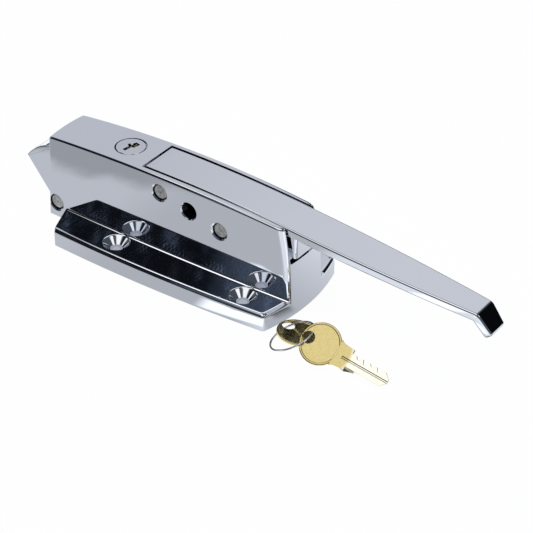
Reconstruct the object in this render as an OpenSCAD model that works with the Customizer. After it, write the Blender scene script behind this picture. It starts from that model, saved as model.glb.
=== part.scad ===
// Surface-mounted door latch for a walk-in cold room: a hollow cast housing with a crowned front
// and barrel sides, a pull handle that lies flush in it, a swinging pawl drawn back by a link,
// a key lock in the front face, and a pair of keys on a ring.
// Lengths run from the pawl end of the front face. The origin of the part is the middle of the
// four mounting holes, on the mounting face.

/* [Housing] */
// Distance from the pawl end of the front face to the middle of the mounting holes
pattern_x = 93; // [90:0.5:96]
// Length of the housing on the mounting face, from the same end
body_l = 158.3; // [156:0.1:162]
// Half width of the housing where it is widest
body_half = 16; // [15.8:0.1:17]
// How much narrower each side is at the pawl end
barrel = 1.6; // [0.8:0.1:1.8]
// Where the housing is widest
barrel_x = 85; // [75:1:95]
// Height of the front face at the top of its crown
crown_h = 55.4; // [55:0.1:57]
// Where the crown is highest
crown_x = 72; // [68:1:76]
// Radius of the crown along the length
crown_r = 850; // [800:10:1200]
// Rounding round the front face
edge_r = 1.5; // [0.6:0.1:1.7]
// Rounding of the upright corners at the handle end, at the front face
corner_top = 3.6; // [2:0.1:4]
// The same rounding at the foot
corner_foot = 1.2; // [0.8:0.1:2]
// How far the middle of the pawl end bulges
pawl_end_bulge = 1.3; // [0.5:0.1:2]
// How far the pawl end leans out at the foot
pawl_end_lean = 3.3; // [1:0.1:4]
// Radius of the handle end in plan
handle_end_r = 105; // [90:1:140]
// Radius of the handle end in side view
handle_end_rise_r = 200; // [180:1:300]
// Height at which the handle end starts to lean
handle_end_z = 8; // [4:1:12]
// Height of the sill under the handle
sill_z = 31; // [29:0.5:32]
// Thickness of the front wall over the pawl
front_wall = 3.8; // [3:0.1:5]
// Thickness of the two end walls
end_wall = 3; // [2.5:0.1:4]
// How far the pawl end stands off the mounting face
pawl_end_lift = 2.7; // [1:0.1:4]

/* [Flange] */
// Thickness of the two mounting flanges
flange_t = 10; // [8:0.1:12]
// Half width over the flanges where they are widest
flange_half = 35.7; // [34:0.1:38]
// Where the flanges are widest
flange_x = 73.5; // [65:0.5:85]
// Radius of the flange edges in plan
flange_r = 960; // [900:10:1400]
// Rounding of the flange edges
flange_edge_r = 2.6; // [1:0.1:3.5]
// Where the flanges start beside the housing
flange_start = 9.2; // [8:0.1:12]
// How far the flange ends slant back at the outer corner
flange_slant = 7.6; // [4:0.1:10]
// Corner curve at the slanted end
flange_corner = 0.8; // [0.5:0.1:3]
// Corner curve at the handle end
flange_end_corner = 1.2; // [0.5:0.1:3]
// Spacing of the mounting holes along the latch
hole_pitch_x = 83; // [80:0.5:86]
// Spacing of the mounting holes across the latch
hole_pitch_y = 48; // [46:0.5:50]
// Diameter of the mounting holes
hole_d = 7; // [5:0.1:8]
// Diameter of the countersinks at the surface
sink_d = 14.6; // [12:0.1:15.5]

/* [Handle] */
// Where the handle turns, along the housing
pivot_x = 75.4; // [74:0.1:77]
// Height of the handle pivot
pivot_z = 45.7; // [45:0.1:46.5]
// Radius of the handle nose about its pivot
nose_r = 16.1; // [15.6:0.1:16.5]
// Half width of the handle inside the housing
grip_half = 12.2; // [11.8:0.1:12.4]
// Half width lost at the free end
grip_taper = 4.7; // [3:0.1:6]
// Thickness of the grip
grip_t = 5; // [4:0.1:6]
// Rounding of the grip edges
grip_r = 1.3; // [0.8:0.1:1.8]
// Where the grip leaves the housing
grip_start = 150; // [146:1:153]
// Where the free end turns down
bend_x = 259.3; // [240:0.1:275]
// Angle at which the free end points down
bend_angle = 50; // [30:1:60]
// Radius of the bend on the outside
bend_r = 5; // [2:0.5:6]
// Length of the turned-down end
bend_l = 10.8; // [8:0.1:14]
// Thickness of each web under the grip
web_t = 3.6; // [3:0.1:4.2]
// Where the root of the handle ends
root_end = 158.6; // [157:0.1:161]
// Height of the lower edge of the root over the sill
root_gap = 3.5; // [2:0.1:5]
// Angle that the handle is pulled through
pull_angle = 27; // [20:1:27]

/* [Linkage] */
// Distance from the handle pivot to the rear link pin
arm_r = 20; // [19.5:0.1:20.5]
// Angle of the rear link pin below the handle pivot
arm_angle = 119.3; // [117:0.1:121]
// Diameter of the rear link pin
rear_pin_d = 5; // [4:0.1:5.5]
// Distance from the pawl pivot to the front link pin
crank_r = 12; // [11.7:0.1:12.3]
// Angle of the front link pin past the upright, toward the tip
crank_angle = 8; // [5:0.5:10]
// Diameter of the front link pin
front_pin_d = 4.4; // [4:0.1:4.6]
// Thickness of the link plate
link_t = 5; // [4:0.1:5.4]
// Half height of the link plate
link_half = 4.4; // [4:0.1:4.8]
// Clearance of the front pin in the link slot at its closest
slot_clear = 0.35; // [0.2:0.05:0.5]
// Length of free travel in the link slot, for slamming shut
slot_travel = 11; // [9:0.5:13]

/* [Pawl] */
// Where the pawl turns, along the housing
pawl_x = 2; // [1.5:0.1:3]
// Height of the pawl pivot
pawl_z = 11.4; // [11:0.1:12]
// Angle that the pawl swings back
pawl_swing = 47; // [35:1:47]
// Radius of the pawl about its pivot
pawl_r = 31; // [29:0.1:31.5]
// Angle of the pawl tip at rest, from the handle direction
pawl_tip_angle = 142.6; // [140:0.1:145]
// Angle of the inner end of the arc
pawl_back_angle = 98; // [95:1:105]
// Radius of the pawl hub
pawl_hub_r = 8; // [7.5:0.1:8.4]
// Thickness of the pawl
pawl_t = 16.8; // [15:0.1:17.4]
// Thickness of each washer beside the pawl
washer_t = 0.6; // [0.4:0.1:0.8]
// Diameter of the washers
washer_d = 14; // [12:0.5:15]

/* [Pins] */
// Diameter of the pins that cross the housing
pin_d = 8; // [7.4:0.1:8.4]
// Diameter of the chamfered rims round the pin ends
rim_d = 10.2; // [9.6:0.1:11]
// Where the stop pin crosses, along the housing
stop_x = 113.8; // [112:0.1:115]
// Height of the stop pin
stop_z = 36.4; // [35.5:0.1:37.5]
// Outer diameter of the sleeve on the stop pin
sleeve_d = 10.4; // [9.6:0.1:10.8]
// Where the spare tapped hole crosses, along the housing
spare_x = 94.4; // [92:0.1:96]
// Height of the spare tapped hole
spare_z = 41.5; // [40:0.1:43]
// Diameter of the spare hole
spare_d = 6.6; // [5:0.1:7.4]
// Outer diameter of the bushes in the handle webs
bush_d = 11; // [10.4:0.1:12]
// Wire of the handle spring
handle_wire = 1.6; // [1.2:0.1:1.8]
// Wire of the pawl spring
pawl_wire = 1.2; // [1:0.1:1.3]

/* [Lock] */
// Where the lock sits, along the housing
lock_x = 44.5; // [43:0.5:46]
// Diameter of the lock cylinder
lock_d = 17.5; // [16:0.1:18.5]
// Length of the lock cylinder
lock_l = 16.6; // [16:0.1:17]
// Diameter of the turning plug
plug_d = 12; // [11:0.1:13]
// Width of the keyway
keyway_w = 2.2; // [1.8:0.1:2.6]
// Length of the keyway across the plug
keyway_l = 8; // [7:0.1:9]
// Wall of the boss that carries the lock
boss_wall = 2.7; // [2:0.1:3.5]
// Length of the boss under the front wall
boss_l = 7.5; // [6:0.1:8]
// Thickness of the lock cam
cam_t = 2.4; // [2:0.1:2.6]
// Reach of the lock cam from the lock axis
cam_reach = 11.8; // [10:0.1:12]

/* [Keys] */
// Diameter of the round key bow
bow_d = 22; // [20:0.5:23]
// Thickness of the key plate
key_t = 1.5; // [1.3:0.1:1.6]
// Length of the key from the middle of the bow to the tip
key_l = 39.5; // [36:0.5:40]
// Width of the key blade
blade_w = 7.4; // [6.6:0.1:7.6]
// Diameter of the hole in the bow
bow_hole_d = 6.6; // [6.4:0.1:7]
// Mean diameter of the key ring
ring_d = 24; // [23.6:0.1:24.4]
// Wire of the key ring
ring_wire = 1.2; // [1:0.1:1.3]

/* [Fit] */
// Gap round the handle and the moving parts
gap = 0.45; // [0.4:0.05:0.5]
// Radial clearance of running fits
run = 0.05; // [0.03:0.01:0.08]
// Gap between flat faces that slide past each other
side_gap = 0.3; // [0.2:0.05:0.4]

/* [Hidden] */
$fn = 64;

chrome = [0.78, 0.79, 0.82];
steel = [0.6, 0.6, 0.58];
brass = [0.88, 0.74, 0.42];

// Share of a round end at which a straight flank starts, so that the two cross
flank = 0.99;

// Inside of the casting
channel_half = grip_half + gap;
cavity_top = crown_z(0) - front_wall;
pawl_room = pawl_t / 2 + washer_t + side_gap;
pawl_room_end = pawl_x + pawl_r - 8;
web_out = channel_half - 1.6;
web_in = web_out - web_t;

// Pins of the linkage, with the handle and the pawl at rest
rear_pin = [pivot_x - arm_r * cos(180 - arm_angle), pivot_z - arm_r * sin(180 - arm_angle)];
front_pin = [pawl_x - crank_r * sin(crank_angle), pawl_z + crank_r * cos(crank_angle)];
link_l = norm(rear_pin - front_pin);
link_tilt = atan2(rear_pin[1] - front_pin[1], rear_pin[0] - front_pin[0]);
slot_rise = crank_r * (1 - cos(pawl_swing / 2)) + arm_r * (1 - cos(pull_angle / 2));
slot_half = front_pin_d / 2 + slot_rise / 2 + slot_clear;
stop_r = norm([stop_x - pivot_x, stop_z - pivot_z]);
stop_angle = atan2(stop_z - pivot_z, stop_x - pivot_x);
stop_slot = sleeve_d / 2 + gap;

// Coil of the pawl spring, with its turns clear of each other
pawl_turns = 2;
pawl_coil = pawl_turns * (pawl_wire + side_gap / 2) + pawl_wire;

// Lock stack, from the front face down
lock_top = crown_z(lock_x) - 0.1;
lock_foot = lock_top - lock_l;
boss_foot = cavity_top - boss_l;
clip_t = 1;
clip_z = boss_foot - side_gap / 3 - clip_t;
clip_groove = 1;
tail_d = plug_d / 2;
cam_top = lock_foot - side_gap / 2;
cam_head_t = 2;

// Free end of the handle
grip_slope = (grip_start - crown_x) / crown_r * 180 / PI;

// Keys on the surface beside the latch, with the ring through both bows
front_key_at = [body_l + 32.2, -35.6, 10.6];
front_key_turn = [40, 10.4, 2];
rear_key_at = [body_l + 13.1, -27.5, 4.2];
rear_key_turn = [-8, 4.65, -12];
hole_back = 7;
front_hole = front_key_at - hole_back * key_way(front_key_turn);
rear_hole = rear_key_at - hole_back * key_way(rear_key_turn);
ring_lean = 18;
chord = (front_hole - rear_hole) / norm(front_hole - rear_hole);
level_way = cross(chord, [0, 0, 1]) / norm(cross(chord, [0, 0, 1]));
ring_way = cos(ring_lean) * level_way + sin(ring_lean) * cross(chord, level_way);
ring_off = sqrt(pow(ring_d, 2) - pow(norm(front_hole - rear_hole), 2)) / 2;
ring_at = (front_hole + rear_hole) / 2 + ring_off * ring_way;
ring_axis = cross(chord, ring_way);

// Half width of the housing at a place along it
function half_width(x) = body_half - barrel * pow((x - barrel_x) / barrel_x, 2);

// Height of the crowned front face at a place along it
function crown_z(x) = crown_h - pow(x - crown_x, 2) / (2 * crown_r);

// Pawl end of the housing: a bulge across and a lean downward
function pawl_end(y, z) =
    -pawl_end_bulge * (1 - pow(y / half_width(0), 2)) - pawl_end_lean * (1 - z / crown_z(0));

// Handle end of the housing and flanges: an arc in plan that leans back toward the top
function handle_end(y, z) =
    body_l - y * y / (2 * handle_end_r) - pow(max(0, z - handle_end_z), 2) / (2 * handle_end_rise_r);

// Half width over the flanges
function flange_side(x) = flange_half - pow(x - flange_x, 2) / (2 * flange_r);

// Half width of the grip: straight inside the housing, then tapering to the free end
function grip_side(x) = grip_half - grip_taper * pow(max(0, x - grip_start) / (bend_x - grip_start), 2.2);

// Direction in which a turned key points
function key_way(turn) = [cos(turn[2]) * cos(turn[1]), sin(turn[2]) * cos(turn[1]), -sin(turn[1])];

// Point a share of the way from one point to another
function between(a, b, t) = a + (b - a) * t;

// Points of a corner curve drawn toward its control point
function corner(a, c, b, n) =
    [for (i = [0:n]) let(t = i / n) a * (1 - t) * (1 - t) + c * 2 * t * (1 - t) + b * t * t];

// One half of the housing outline at a level, from the middle of one end to the middle of the other
function body_half_ring(z, inset, drop) =
    let(reach = half_width(0) - inset, last_x = handle_end(half_width(body_l), z) - inset,
        last_y = half_width(last_x) - inset,
        soft = between(corner_foot, corner_top, z / crown_h),
        side_x = last_x - soft, end_y = last_y - soft,
        flat = concat(
            [for (i = [0:4]) let(y = reach * i / 4) [pawl_end(y, z) + inset, y]],
            [for (i = [1:16]) let(x = between(pawl_end(reach, z) + inset, side_x, i / 17))
                [x, half_width(x) - inset]],
            corner([side_x, half_width(side_x) - inset], [last_x, last_y],
                   [handle_end(end_y, z) - inset, end_y], 4),
            [for (i = [1:4]) let(y = end_y * (1 - i / 4)) [handle_end(y, z) - inset, y]]))
    [for (p = flat) [p[0], p[1], drop < 0 ? z : crown_z(p[0]) - drop]];

// One half of the flange outline at a level, with the slanted end and its curved corner
function flange_half_ring(z, inset) =
    let(foot = [flange_start, half_width(flange_start)],
        outer_x = flange_start + flange_slant,
        slant = [outer_x, flange_side(outer_x)] - foot,
        outer = foot + slant * (1 - inset / slant[1]),
        last_y = flange_side(body_l - 4) - inset,
        last_x = handle_end(last_y, 0) - inset,
        side_x = last_x - flange_end_corner, end_y = last_y - flange_end_corner,
        flat = concat(
            [[foot[0] - 2, 0], foot],
            corner(outer - slant / norm(slant) * flange_corner, outer, outer + [flange_corner, 0], 4),
            [for (i = [1:11]) let(x = between(outer[0] + flange_corner, side_x, i / 12))
                [x, flange_side(x) - inset]],
            corner([side_x, flange_side(side_x) - inset], [last_x, last_y],
                   [handle_end(end_y, 0) - inset, end_y], 3),
            [for (i = [1:8]) let(y = end_y * (1 - i / 8)) [handle_end(y, 0) - inset, y]]))
    [for (p = flat) [p[0], p[1], z]];

// Cross-section of the grip: a flat bar with rounded edges, as across and up pairs
function grip_section(half, n) =
    concat(
        [for (i = [0:n]) let(a = 90 * i / n) [half - grip_r + grip_r * sin(a), -grip_r + grip_r * cos(a)]],
        [for (i = [0:n]) let(a = 90 + 90 * i / n)
            [half - grip_r + grip_r * sin(a), grip_r - grip_t + grip_r * cos(a)]],
        [for (i = [0:n]) let(a = 180 + 90 * i / n)
            [grip_r - half + grip_r * sin(a), grip_r - grip_t + grip_r * cos(a)]],
        [for (i = [0:n]) let(a = 270 + 90 * i / n) [grip_r - half + grip_r * sin(a), -grip_r + grip_r * cos(a)]]);

// Grip section set at a point of its top line, square to the slope there
function grip_ring(x, z, slope, half) =
    [for (p = grip_section(half, 3)) [x + p[1] * sin(slope), p[0], z + p[1] * cos(slope)]];

// Height of the top line of the grip: the crown, then straight on at the same slope
function grip_z(x) =
    x < grip_start ? crown_z(x) : crown_z(grip_start) - (x - grip_start) * tan(grip_slope);

// Slope of the top line of the grip, downward
function grip_fall(x) = (min(x, grip_start) - crown_x) / crown_r * 180 / PI;

// Ring of wire round one point of a coil about the Y axis
function wire_ring(mid, turn, wire) =
    [for (k = [0:7]) let(a = 45 * k)
        mid + wire / 2 * (cos(a) * [cos(turn), 0, sin(turn)] + sin(a) * [0, 1, 0])];

// Rings of a torsion spring: a leg, the coil, and a second leg, wound about the Y axis
function coil_rings(r, wire, width, turns, start, leg) =
    let(steps = 14 * turns, first = start, last = start + 360 * turns,
        tangent = function(t) [-sin(t), 0, cos(t)],
        at = function(t, y) [r * cos(t), y, r * sin(t)],
        low = -(width - wire) / 2)
    concat(
        [wire_ring(at(first, low) - leg * tangent(first), first, wire)],
        [for (i = [0:steps]) let(t = first + 360 * turns * i / steps)
            wire_ring(at(t, low + (width - wire) * i / steps), t, wire)],
        [wire_ring(at(last, -low) + leg * tangent(last), last, wire)]);

// Closed solid over a stack of half outlines that mirror across the Y plane
module mirrored_loft(halves) {
    n = len(halves[0]);
    m = 2 * n - 2;
    rings = len(halves);
    points = [for (h = halves) for (k = [0:m - 1]) k < n ? h[k] : [h[m - k][0], -h[m - k][1], h[m - k][2]]];
    other = function(i) i == 0 || i == n - 1 ? i : m - i;
    sides = [for (r = [0:rings - 2]) for (k = [0:m - 1])
        let(a = r * m + k, b = r * m + (k + 1) % m) each [[a, b, b + m], [a, b + m, a + m]]];
    top = (rings - 1) * m;
    caps = [for (i = [0:n - 2]) let(quad = [i, i + 1, other(i + 1), other(i)])
        each [clean([for (q = quad) top + q]), clean([for (j = [3:-1:0]) quad[j]])]];
    polyhedron(points, concat(sides, caps), convexity = 6);
}

// Face with repeated corners left out
function clean(face) = [for (i = [0:len(face) - 1]) if (face[i] != face[(i + 1) % len(face)]) face[i]];

// Closed solid through a row of loops with flat ends
module skin(loops) {
    m = len(loops[0]);
    last = (len(loops) - 1) * m;
    points = [for (loop = loops) each loop];
    sides = [for (r = [0:len(loops) - 2]) for (k = [0:m - 1])
        let(a = r * m + k, b = r * m + (k + 1) % m) each [[a, b, b + m], [a, b + m, a + m]]];
    polyhedron(points, concat(sides, [[for (k = [m - 1:-1:0]) k], [for (k = [0:m - 1]) last + k]]),
               convexity = 6);
}

// Bar with round ends of two sizes, drawn flat
module bar(a, b, ra, rb) {
    d = norm(b - a);
    way = atan2(b[1] - a[1], b[0] - a[0]);
    lean = acos((ra - rb) / d);
    side = function(p, r, s) p + flank * r * [cos(way + s * lean), sin(way + s * lean)];
    translate(a) circle(ra);
    translate(b) circle(rb);
    polygon([side(a, ra, 1), side(a, ra, -1), side(b, rb, -1), side(b, rb, 1)]);
}

// Flat wedge from a point, between two angles, long enough to cut a circle of a radius
module wedge(r, from, to) {
    far = 2 * r;
    polygon([[0, 0], for (i = [0:4]) let(a = between(from, to, i / 4)) far * [cos(a), sin(a)]]);
}

// Drawing in the side view, given a thickness across the latch about its middle
module across(width) {
    rotate([90, 0, 0]) linear_extrude(width, center = true) children();
}

// Round bar across the latch at a place in the side view
module cross_bar(x, z, d, width) {
    translate([x, 0, z]) rotate([90, 0, 0]) cylinder(d = d, h = width, center = true);
}

// Everything moves from the pawl end to the middle of the mounting holes
module place() {
    translate([-pattern_x, 0, 0]) children();
}

// One child on each side of the latch
module both_sides() {
    children();
    mirror([0, 1, 0]) children();
}

// Hole across the housing with a chamfered rim on each side
module rimmed_hole(x, z, d) {
    cross_bar(x, z, d, 4 * body_half);
    depth = (rim_d - d) / 2;
    both_sides() translate([x, half_width(x) + 1, z]) rotate([90, 0, 0])
        cylinder(d1 = rim_d + 2, d2 = d, h = depth + 1);
}

// Length of a pin between the bottoms of two chamfered rims
function pin_l(x) = 2 * (half_width(x) - (rim_d - pin_d) / 2);

// Outer form of the casting
module casting() {
    levels = [0, 0.16, 0.34, 0.5, 0.66, 0.82, 1];
    shoulder = crown_z(body_l) - edge_r;
    rounding = [22.5, 45, 67.5, 90];
    mirrored_loft(concat(
        [for (t = levels) body_half_ring(t * shoulder, 0, t < 1 ? -1 : edge_r)],
        [for (a = rounding) body_half_ring(shoulder, edge_r * (1 - cos(a)), edge_r * (1 - sin(a)))]));
    mirrored_loft(concat(
        [flange_half_ring(0, 0)],
        [for (a = [0, 30, 60, 90])
            flange_half_ring(flange_t - flange_edge_r * (1 - sin(a)), flange_edge_r * (1 - cos(a)))]));
}

// Room inside the casting for the pawl, the link and the handle
module hollow() {
    inner_end = handle_end(channel_half, sill_z) - end_wall;
    translate([-10, -pawl_room, -1]) cube([10 + pawl_room_end, 2 * pawl_room, cavity_top - 2.5 + 1]);
    translate([end_wall, -pawl_room, -1]) cube([pawl_room_end, 2 * pawl_room, cavity_top + 1]);
    translate([pawl_room_end - 1, -channel_half, -1])
        cube([inner_end - pawl_room_end + 1, 2 * channel_half, cavity_top + 1]);
    translate([pivot_x, -channel_half, sill_z]) cube([body_l, 2 * channel_half, crown_h]);
    cross_bar(pivot_x, pivot_z, 2 * (nose_r + gap), 2 * channel_half);
}

// Countersunk mounting hole
module mounting_hole() {
    depth = (sink_d - hole_d) / 2;
    translate([0, 0, -1]) cylinder(d = hole_d, h = flange_t + 2);
    translate([0, 0, flange_t - depth]) cylinder(d1 = hole_d, d2 = sink_d + 2, h = depth + 1);
}

// Hollow cast housing with two flanges
module housing() {
    color(chrome) place() difference() {
        union() {
            difference() {
                casting();
                hollow();
            }
            translate([lock_x, 0, boss_foot])
                cylinder(d = lock_d + 2 * boss_wall, h = boss_l + front_wall / 2);
        }
        translate([-20, -flange_half, -1]) cube([20 + flange_start, 2 * flange_half, pawl_end_lift + 1]);
        translate([lock_x, 0, boss_foot - 1]) cylinder(d = lock_d, h = crown_h);
        rimmed_hole(pawl_x, pawl_z, pin_d);
        rimmed_hole(pivot_x, pivot_z, pin_d);
        rimmed_hole(stop_x, stop_z, pin_d);
        rimmed_hole(spare_x, spare_z, spare_d);
        for (sx = [-1, 1], sy = [-1, 1])
            translate([pattern_x + sx * hole_pitch_x / 2, sy * hole_pitch_y / 2, 0]) mounting_hole();
    }
}

// Side view of a handle web, with the arm of the link and the slot of the stop pin
module web_profile() {
    pivot = [pivot_x, pivot_z];
    outer = stop_r + stop_slot + 3;
    slot_end = asin(stop_slot / stop_r);
    low = stop_angle - pull_angle - slot_end - 2;
    root_z = sill_z + root_gap;
    difference() {
        union() {
            bar(pivot, rear_pin, bush_d / 2 + 2.5, rear_pin_d / 2 + 3);
            translate(pivot) intersection() {
                circle(outer);
                wedge(outer, low, 3);
            }
            polygon([[pivot_x, pivot_z], [pivot_x + outer * cos(stop_angle - 12), root_z - 3],
                     [root_end - 12, root_z], [root_end, root_z],
                     [root_end, grip_z(root_end) - grip_t / 2],
                     for (i = [0:4]) let(x = between(grip_start, pivot_x, i / 4))
                         [x, crown_z(x) - grip_t / 2]]);
        }
        translate(rear_pin) circle(d = rear_pin_d);
        translate(pivot) intersection() {
            difference() {
                circle(stop_r + stop_slot);
                circle(stop_r - stop_slot);
            }
            wedge(outer, stop_angle - pull_angle - slot_end, stop_angle + slot_end);
        }
    }
}

// Grip as one bar along its top line, with the free end turned down
module grip_bar() {
    tip = grip_side(bend_x);
    turn = bend_angle - grip_slope;
    start_z = grip_z(bend_x);
    bend = [for (i = [0:4]) let(a = grip_slope + turn * i / 4)
        [bend_x + bend_r * (sin(a) - sin(grip_slope)), start_z - bend_r * (cos(grip_slope) - cos(a)), a]];
    end = bend[4];
    nose_x = pivot_x - nose_r - 2;
    skin(concat(
        [for (i = [0:12]) let(x = between(nose_x, grip_start, i / 12))
            grip_ring(x, grip_z(x), grip_fall(x), grip_side(x))],
        [for (i = [1:11]) let(x = between(grip_start, bend_x, i / 12))
            grip_ring(x, grip_z(x), grip_slope, grip_side(x))],
        [for (b = bend) grip_ring(b[0], b[1], b[2], tip)],
        [grip_ring(end[0] + bend_l * cos(bend_angle), end[1] - bend_l * sin(bend_angle), bend_angle, tip - 1)]));
}

// Pull handle: grip, two webs with the link arm, and the end wall of the root
module handle_lever() {
    root_z = sill_z + root_gap;
    color(chrome) place() difference() {
        union() {
            intersection() {
                grip_bar();
                union() {
                    cross_bar(pivot_x, pivot_z, 2 * nose_r, 4 * grip_half);
                    translate([pivot_x, -2 * grip_half, -1]) cube([bend_x, 4 * grip_half, 2 * crown_h]);
                }
            }
            both_sides() translate([0, web_in + web_t / 2, 0]) across(web_t) web_profile();
            translate([root_end - web_t, -web_out, root_z])
                cube([web_t, 2 * web_out, grip_z(root_end) - grip_t / 2 - root_z]);
        }
        cross_bar(pivot_x, pivot_z, bush_d, 2 * (web_out + side_gap));
        cross_bar(pivot_x, pivot_z, pin_d + 2 * handle_wire + 4 * side_gap, 2 * web_in);
    }
}

// Plain bearing bushes pressed in the handle webs
module handle_bushes() {
    color([0.72, 0.55, 0.3]) place() both_sides() translate([pivot_x, web_in + web_t / 2, pivot_z])
        rotate([90, 0, 0]) difference() {
            cylinder(d = bush_d, h = web_t + 2 * side_gap, center = true);
            cylinder(d = pin_d + 2 * run, h = 3 * web_t, center = true);
        }
}

// Torsion spring on the handle pivot, between the webs
module handle_spring() {
    r = pin_d / 2 + side_gap + handle_wire / 2;
    color(steel) place() translate([pivot_x, 0, pivot_z])
        skin(coil_rings(r, handle_wire, 2 * (web_in - 2 * side_gap), 4, -90, r));
}

// Pin that the handle turns on
module handle_pivot_pin() {
    color(steel) place() cross_bar(pivot_x, pivot_z, pin_d, pin_l(pivot_x));
}

// Pin that stops the handle, through the slots in its webs
module stop_pin() {
    color(steel) place() cross_bar(stop_x, stop_z, pin_d, pin_l(stop_x));
}

// Sleeve on the stop pin that the slots run against
module stop_sleeve() {
    color([0.2, 0.2, 0.2]) place() difference() {
        cross_bar(stop_x, stop_z, sleeve_d, 2 * channel_half);
        cross_bar(stop_x, stop_z, pin_d, 4 * channel_half);
    }
}

// Link plate: an eye on the rear pin, a long slot for the front pin, and the step under the lock cam
module pull_link() {
    left = front_pin_d / 2 + gap;
    step = cam_top - cam_t - gap;
    color(steel) place() across(link_t) difference() {
        union() {
            translate(front_pin) rotate(link_tilt) {
                translate([0, -link_half]) square([link_l, 2 * link_half]);
                translate([-left - 2, slot_rise / 2 - slot_half - 2])
                    square([left + slot_travel + 6, 2 * slot_half + 4]);
            }
            translate(rear_pin) circle(link_half);
            translate([lock_x - cam_reach - 4, step - 8]) square([6, 8]);
        }
        translate(rear_pin) circle(d = rear_pin_d + 2 * run);
        translate(front_pin) rotate(link_tilt)
            translate([-left, slot_rise / 2 - slot_half])
                square([left + slot_travel + front_pin_d / 2, 2 * slot_half]);
    }
}

// Pin of the handle arm that pulls the link
module link_rear_pin() {
    color(steel) place() cross_bar(rear_pin[0], rear_pin[1], rear_pin_d, 2 * web_out);
}

// Spacers that keep the link in the middle
module link_spacers() {
    inner = link_t / 2 + side_gap;
    outer = web_in - side_gap;
    color(steel) place() both_sides() translate([rear_pin[0], (inner + outer) / 2, rear_pin[1]])
        rotate([90, 0, 0]) difference() {
            cylinder(d = rear_pin_d + 4, h = outer - inner, center = true);
            cylinder(d = rear_pin_d, h = 2 * outer, center = true);
        }
}

// Solid pawl: a sector with a flat lead-in face that runs into the hub
module pawl_block() {
    way = function(a) [cos(a), sin(a)];
    lead = flank * pawl_hub_r * way(pawl_tip_angle + acos(pawl_hub_r / pawl_r));
    spine = flank * pawl_hub_r * way(pawl_back_angle - acos(pawl_hub_r / pawl_r));
    middle = (pawl_tip_angle + pawl_back_angle) / 2;
    translate([pawl_x, 0, pawl_z]) {
        across(pawl_t) circle(pawl_hub_r);
        across(pawl_t) intersection() {
            circle(pawl_r, $fn = 180);
            polygon([lead, between(lead, pawl_r * way(pawl_tip_angle), 1.2), 2 * pawl_r * way(middle),
                     between(spine, pawl_r * way(pawl_back_angle), 1.2), spine]);
        }
    }
}

// Pawl with a fork for the link and a pocket for its spring
module pawl() {
    fork_r = crank_r + 2 * slot_half + 5;
    pocket = pin_d / 2 + pawl_wire + 2 * side_gap;
    color(chrome) place() difference() {
        pawl_block();
        cross_bar(pawl_x, pawl_z, 2 * fork_r, link_t + 2 * side_gap);
        cross_bar(pawl_x, pawl_z, pin_d + 2 * run, 2 * pawl_t);
        cross_bar(front_pin[0], front_pin[1], front_pin_d, pawl_t - 1.2);
        translate([pawl_x, pawl_t / 2 + 1, pawl_z]) rotate([90, 0, 0])
            cylinder(r = pocket, h = pawl_coil + side_gap + 1);
    }
}

// Pin in the pawl fork that the link pulls
module link_front_pin() {
    color(steel) place() cross_bar(front_pin[0], front_pin[1], front_pin_d, pawl_t - 1.2);
}

// Pin that the pawl turns on
module pawl_pivot_pin() {
    color(steel) place() cross_bar(pawl_x, pawl_z, pin_d, pin_l(pawl_x));
}

// Washers between the pawl and the housing
module pawl_washers() {
    color(steel) place() both_sides()
        translate([pawl_x, pawl_room - washer_t / 2, pawl_z]) rotate([90, 0, 0]) difference() {
            cylinder(d = washer_d, h = washer_t, center = true);
            cylinder(d = pin_d, h = 3 * washer_t, center = true);
        }
}

// Torsion spring in the pocket of the pawl
module pawl_spring() {
    r = pin_d / 2 + side_gap + pawl_wire / 2;
    color(steel) place() translate([pawl_x, pawl_t / 2 - pawl_coil / 2 - side_gap / 2, pawl_z])
        skin(coil_rings(r, pawl_wire, pawl_coil, pawl_turns, 0, 0.5));
}

// Lock cylinder with the groove for its clip
module lock_cylinder() {
    color(chrome) place() translate([lock_x, 0, 0]) difference() {
        translate([0, 0, lock_foot]) cylinder(d = lock_d, h = lock_l);
        translate([0, 0, lock_foot - 1]) cylinder(d = plug_d + 2 * run, h = lock_l + 2);
        translate([0, 0, clip_z]) difference() {
            cylinder(d = lock_d + 2, h = clip_t);
            translate([0, 0, -1]) cylinder(d = lock_d - 2 * clip_groove, h = clip_t + 2);
        }
    }
}

// Spring clip that holds the lock cylinder under the boss
module lock_clip() {
    inner = lock_d / 2 - clip_groove;
    color(steel) place() translate([lock_x, 0, clip_z]) linear_extrude(clip_t) difference() {
        circle(lock_d / 2 + boss_wall - 0.3);
        circle(inner);
        polygon([[0, 0], 3 * inner * [1, 0.6], 3 * inner * [1, -0.6]]);
    }
}

// Places of the wafers down the plug
wafer_t = 1;
wafer_pitch = 2.2;
wafer_z = [for (i = [0:3]) lock_top - 4 - i * wafer_pitch];
wafer_w = 4.6;

// Turning plug of the lock with the keyway, the wafer slots and the tail for the cam
module lock_plug() {
    color(chrome) place() translate([lock_x, 0, 0]) difference() {
        union() {
            translate([0, 0, lock_foot]) cylinder(d = plug_d, h = lock_l);
            translate([0, 0, cam_top - cam_t]) cylinder(d = tail_d, h = cam_t + side_gap);
        }
        translate([-keyway_w / 2, -keyway_l / 2, wafer_z[3] - 2 * wafer_t])
            cube([keyway_w, keyway_l, lock_l]);
        for (z = wafer_z) translate([-wafer_w / 2, -plug_d, z]) cube([wafer_w, 2 * plug_d, wafer_t]);
    }
}

// Wafers in the plug, each with a window for the key
module lock_wafers() {
    color(brass) place() for (z = wafer_z) translate([lock_x, 0, z]) linear_extrude(wafer_t)
        difference() {
            intersection() {
                circle(d = plug_d - 2 * run);
                square([wafer_w, 2 * plug_d], center = true);
            }
            square([keyway_w, keyway_l], center = true);
        }
}

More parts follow.
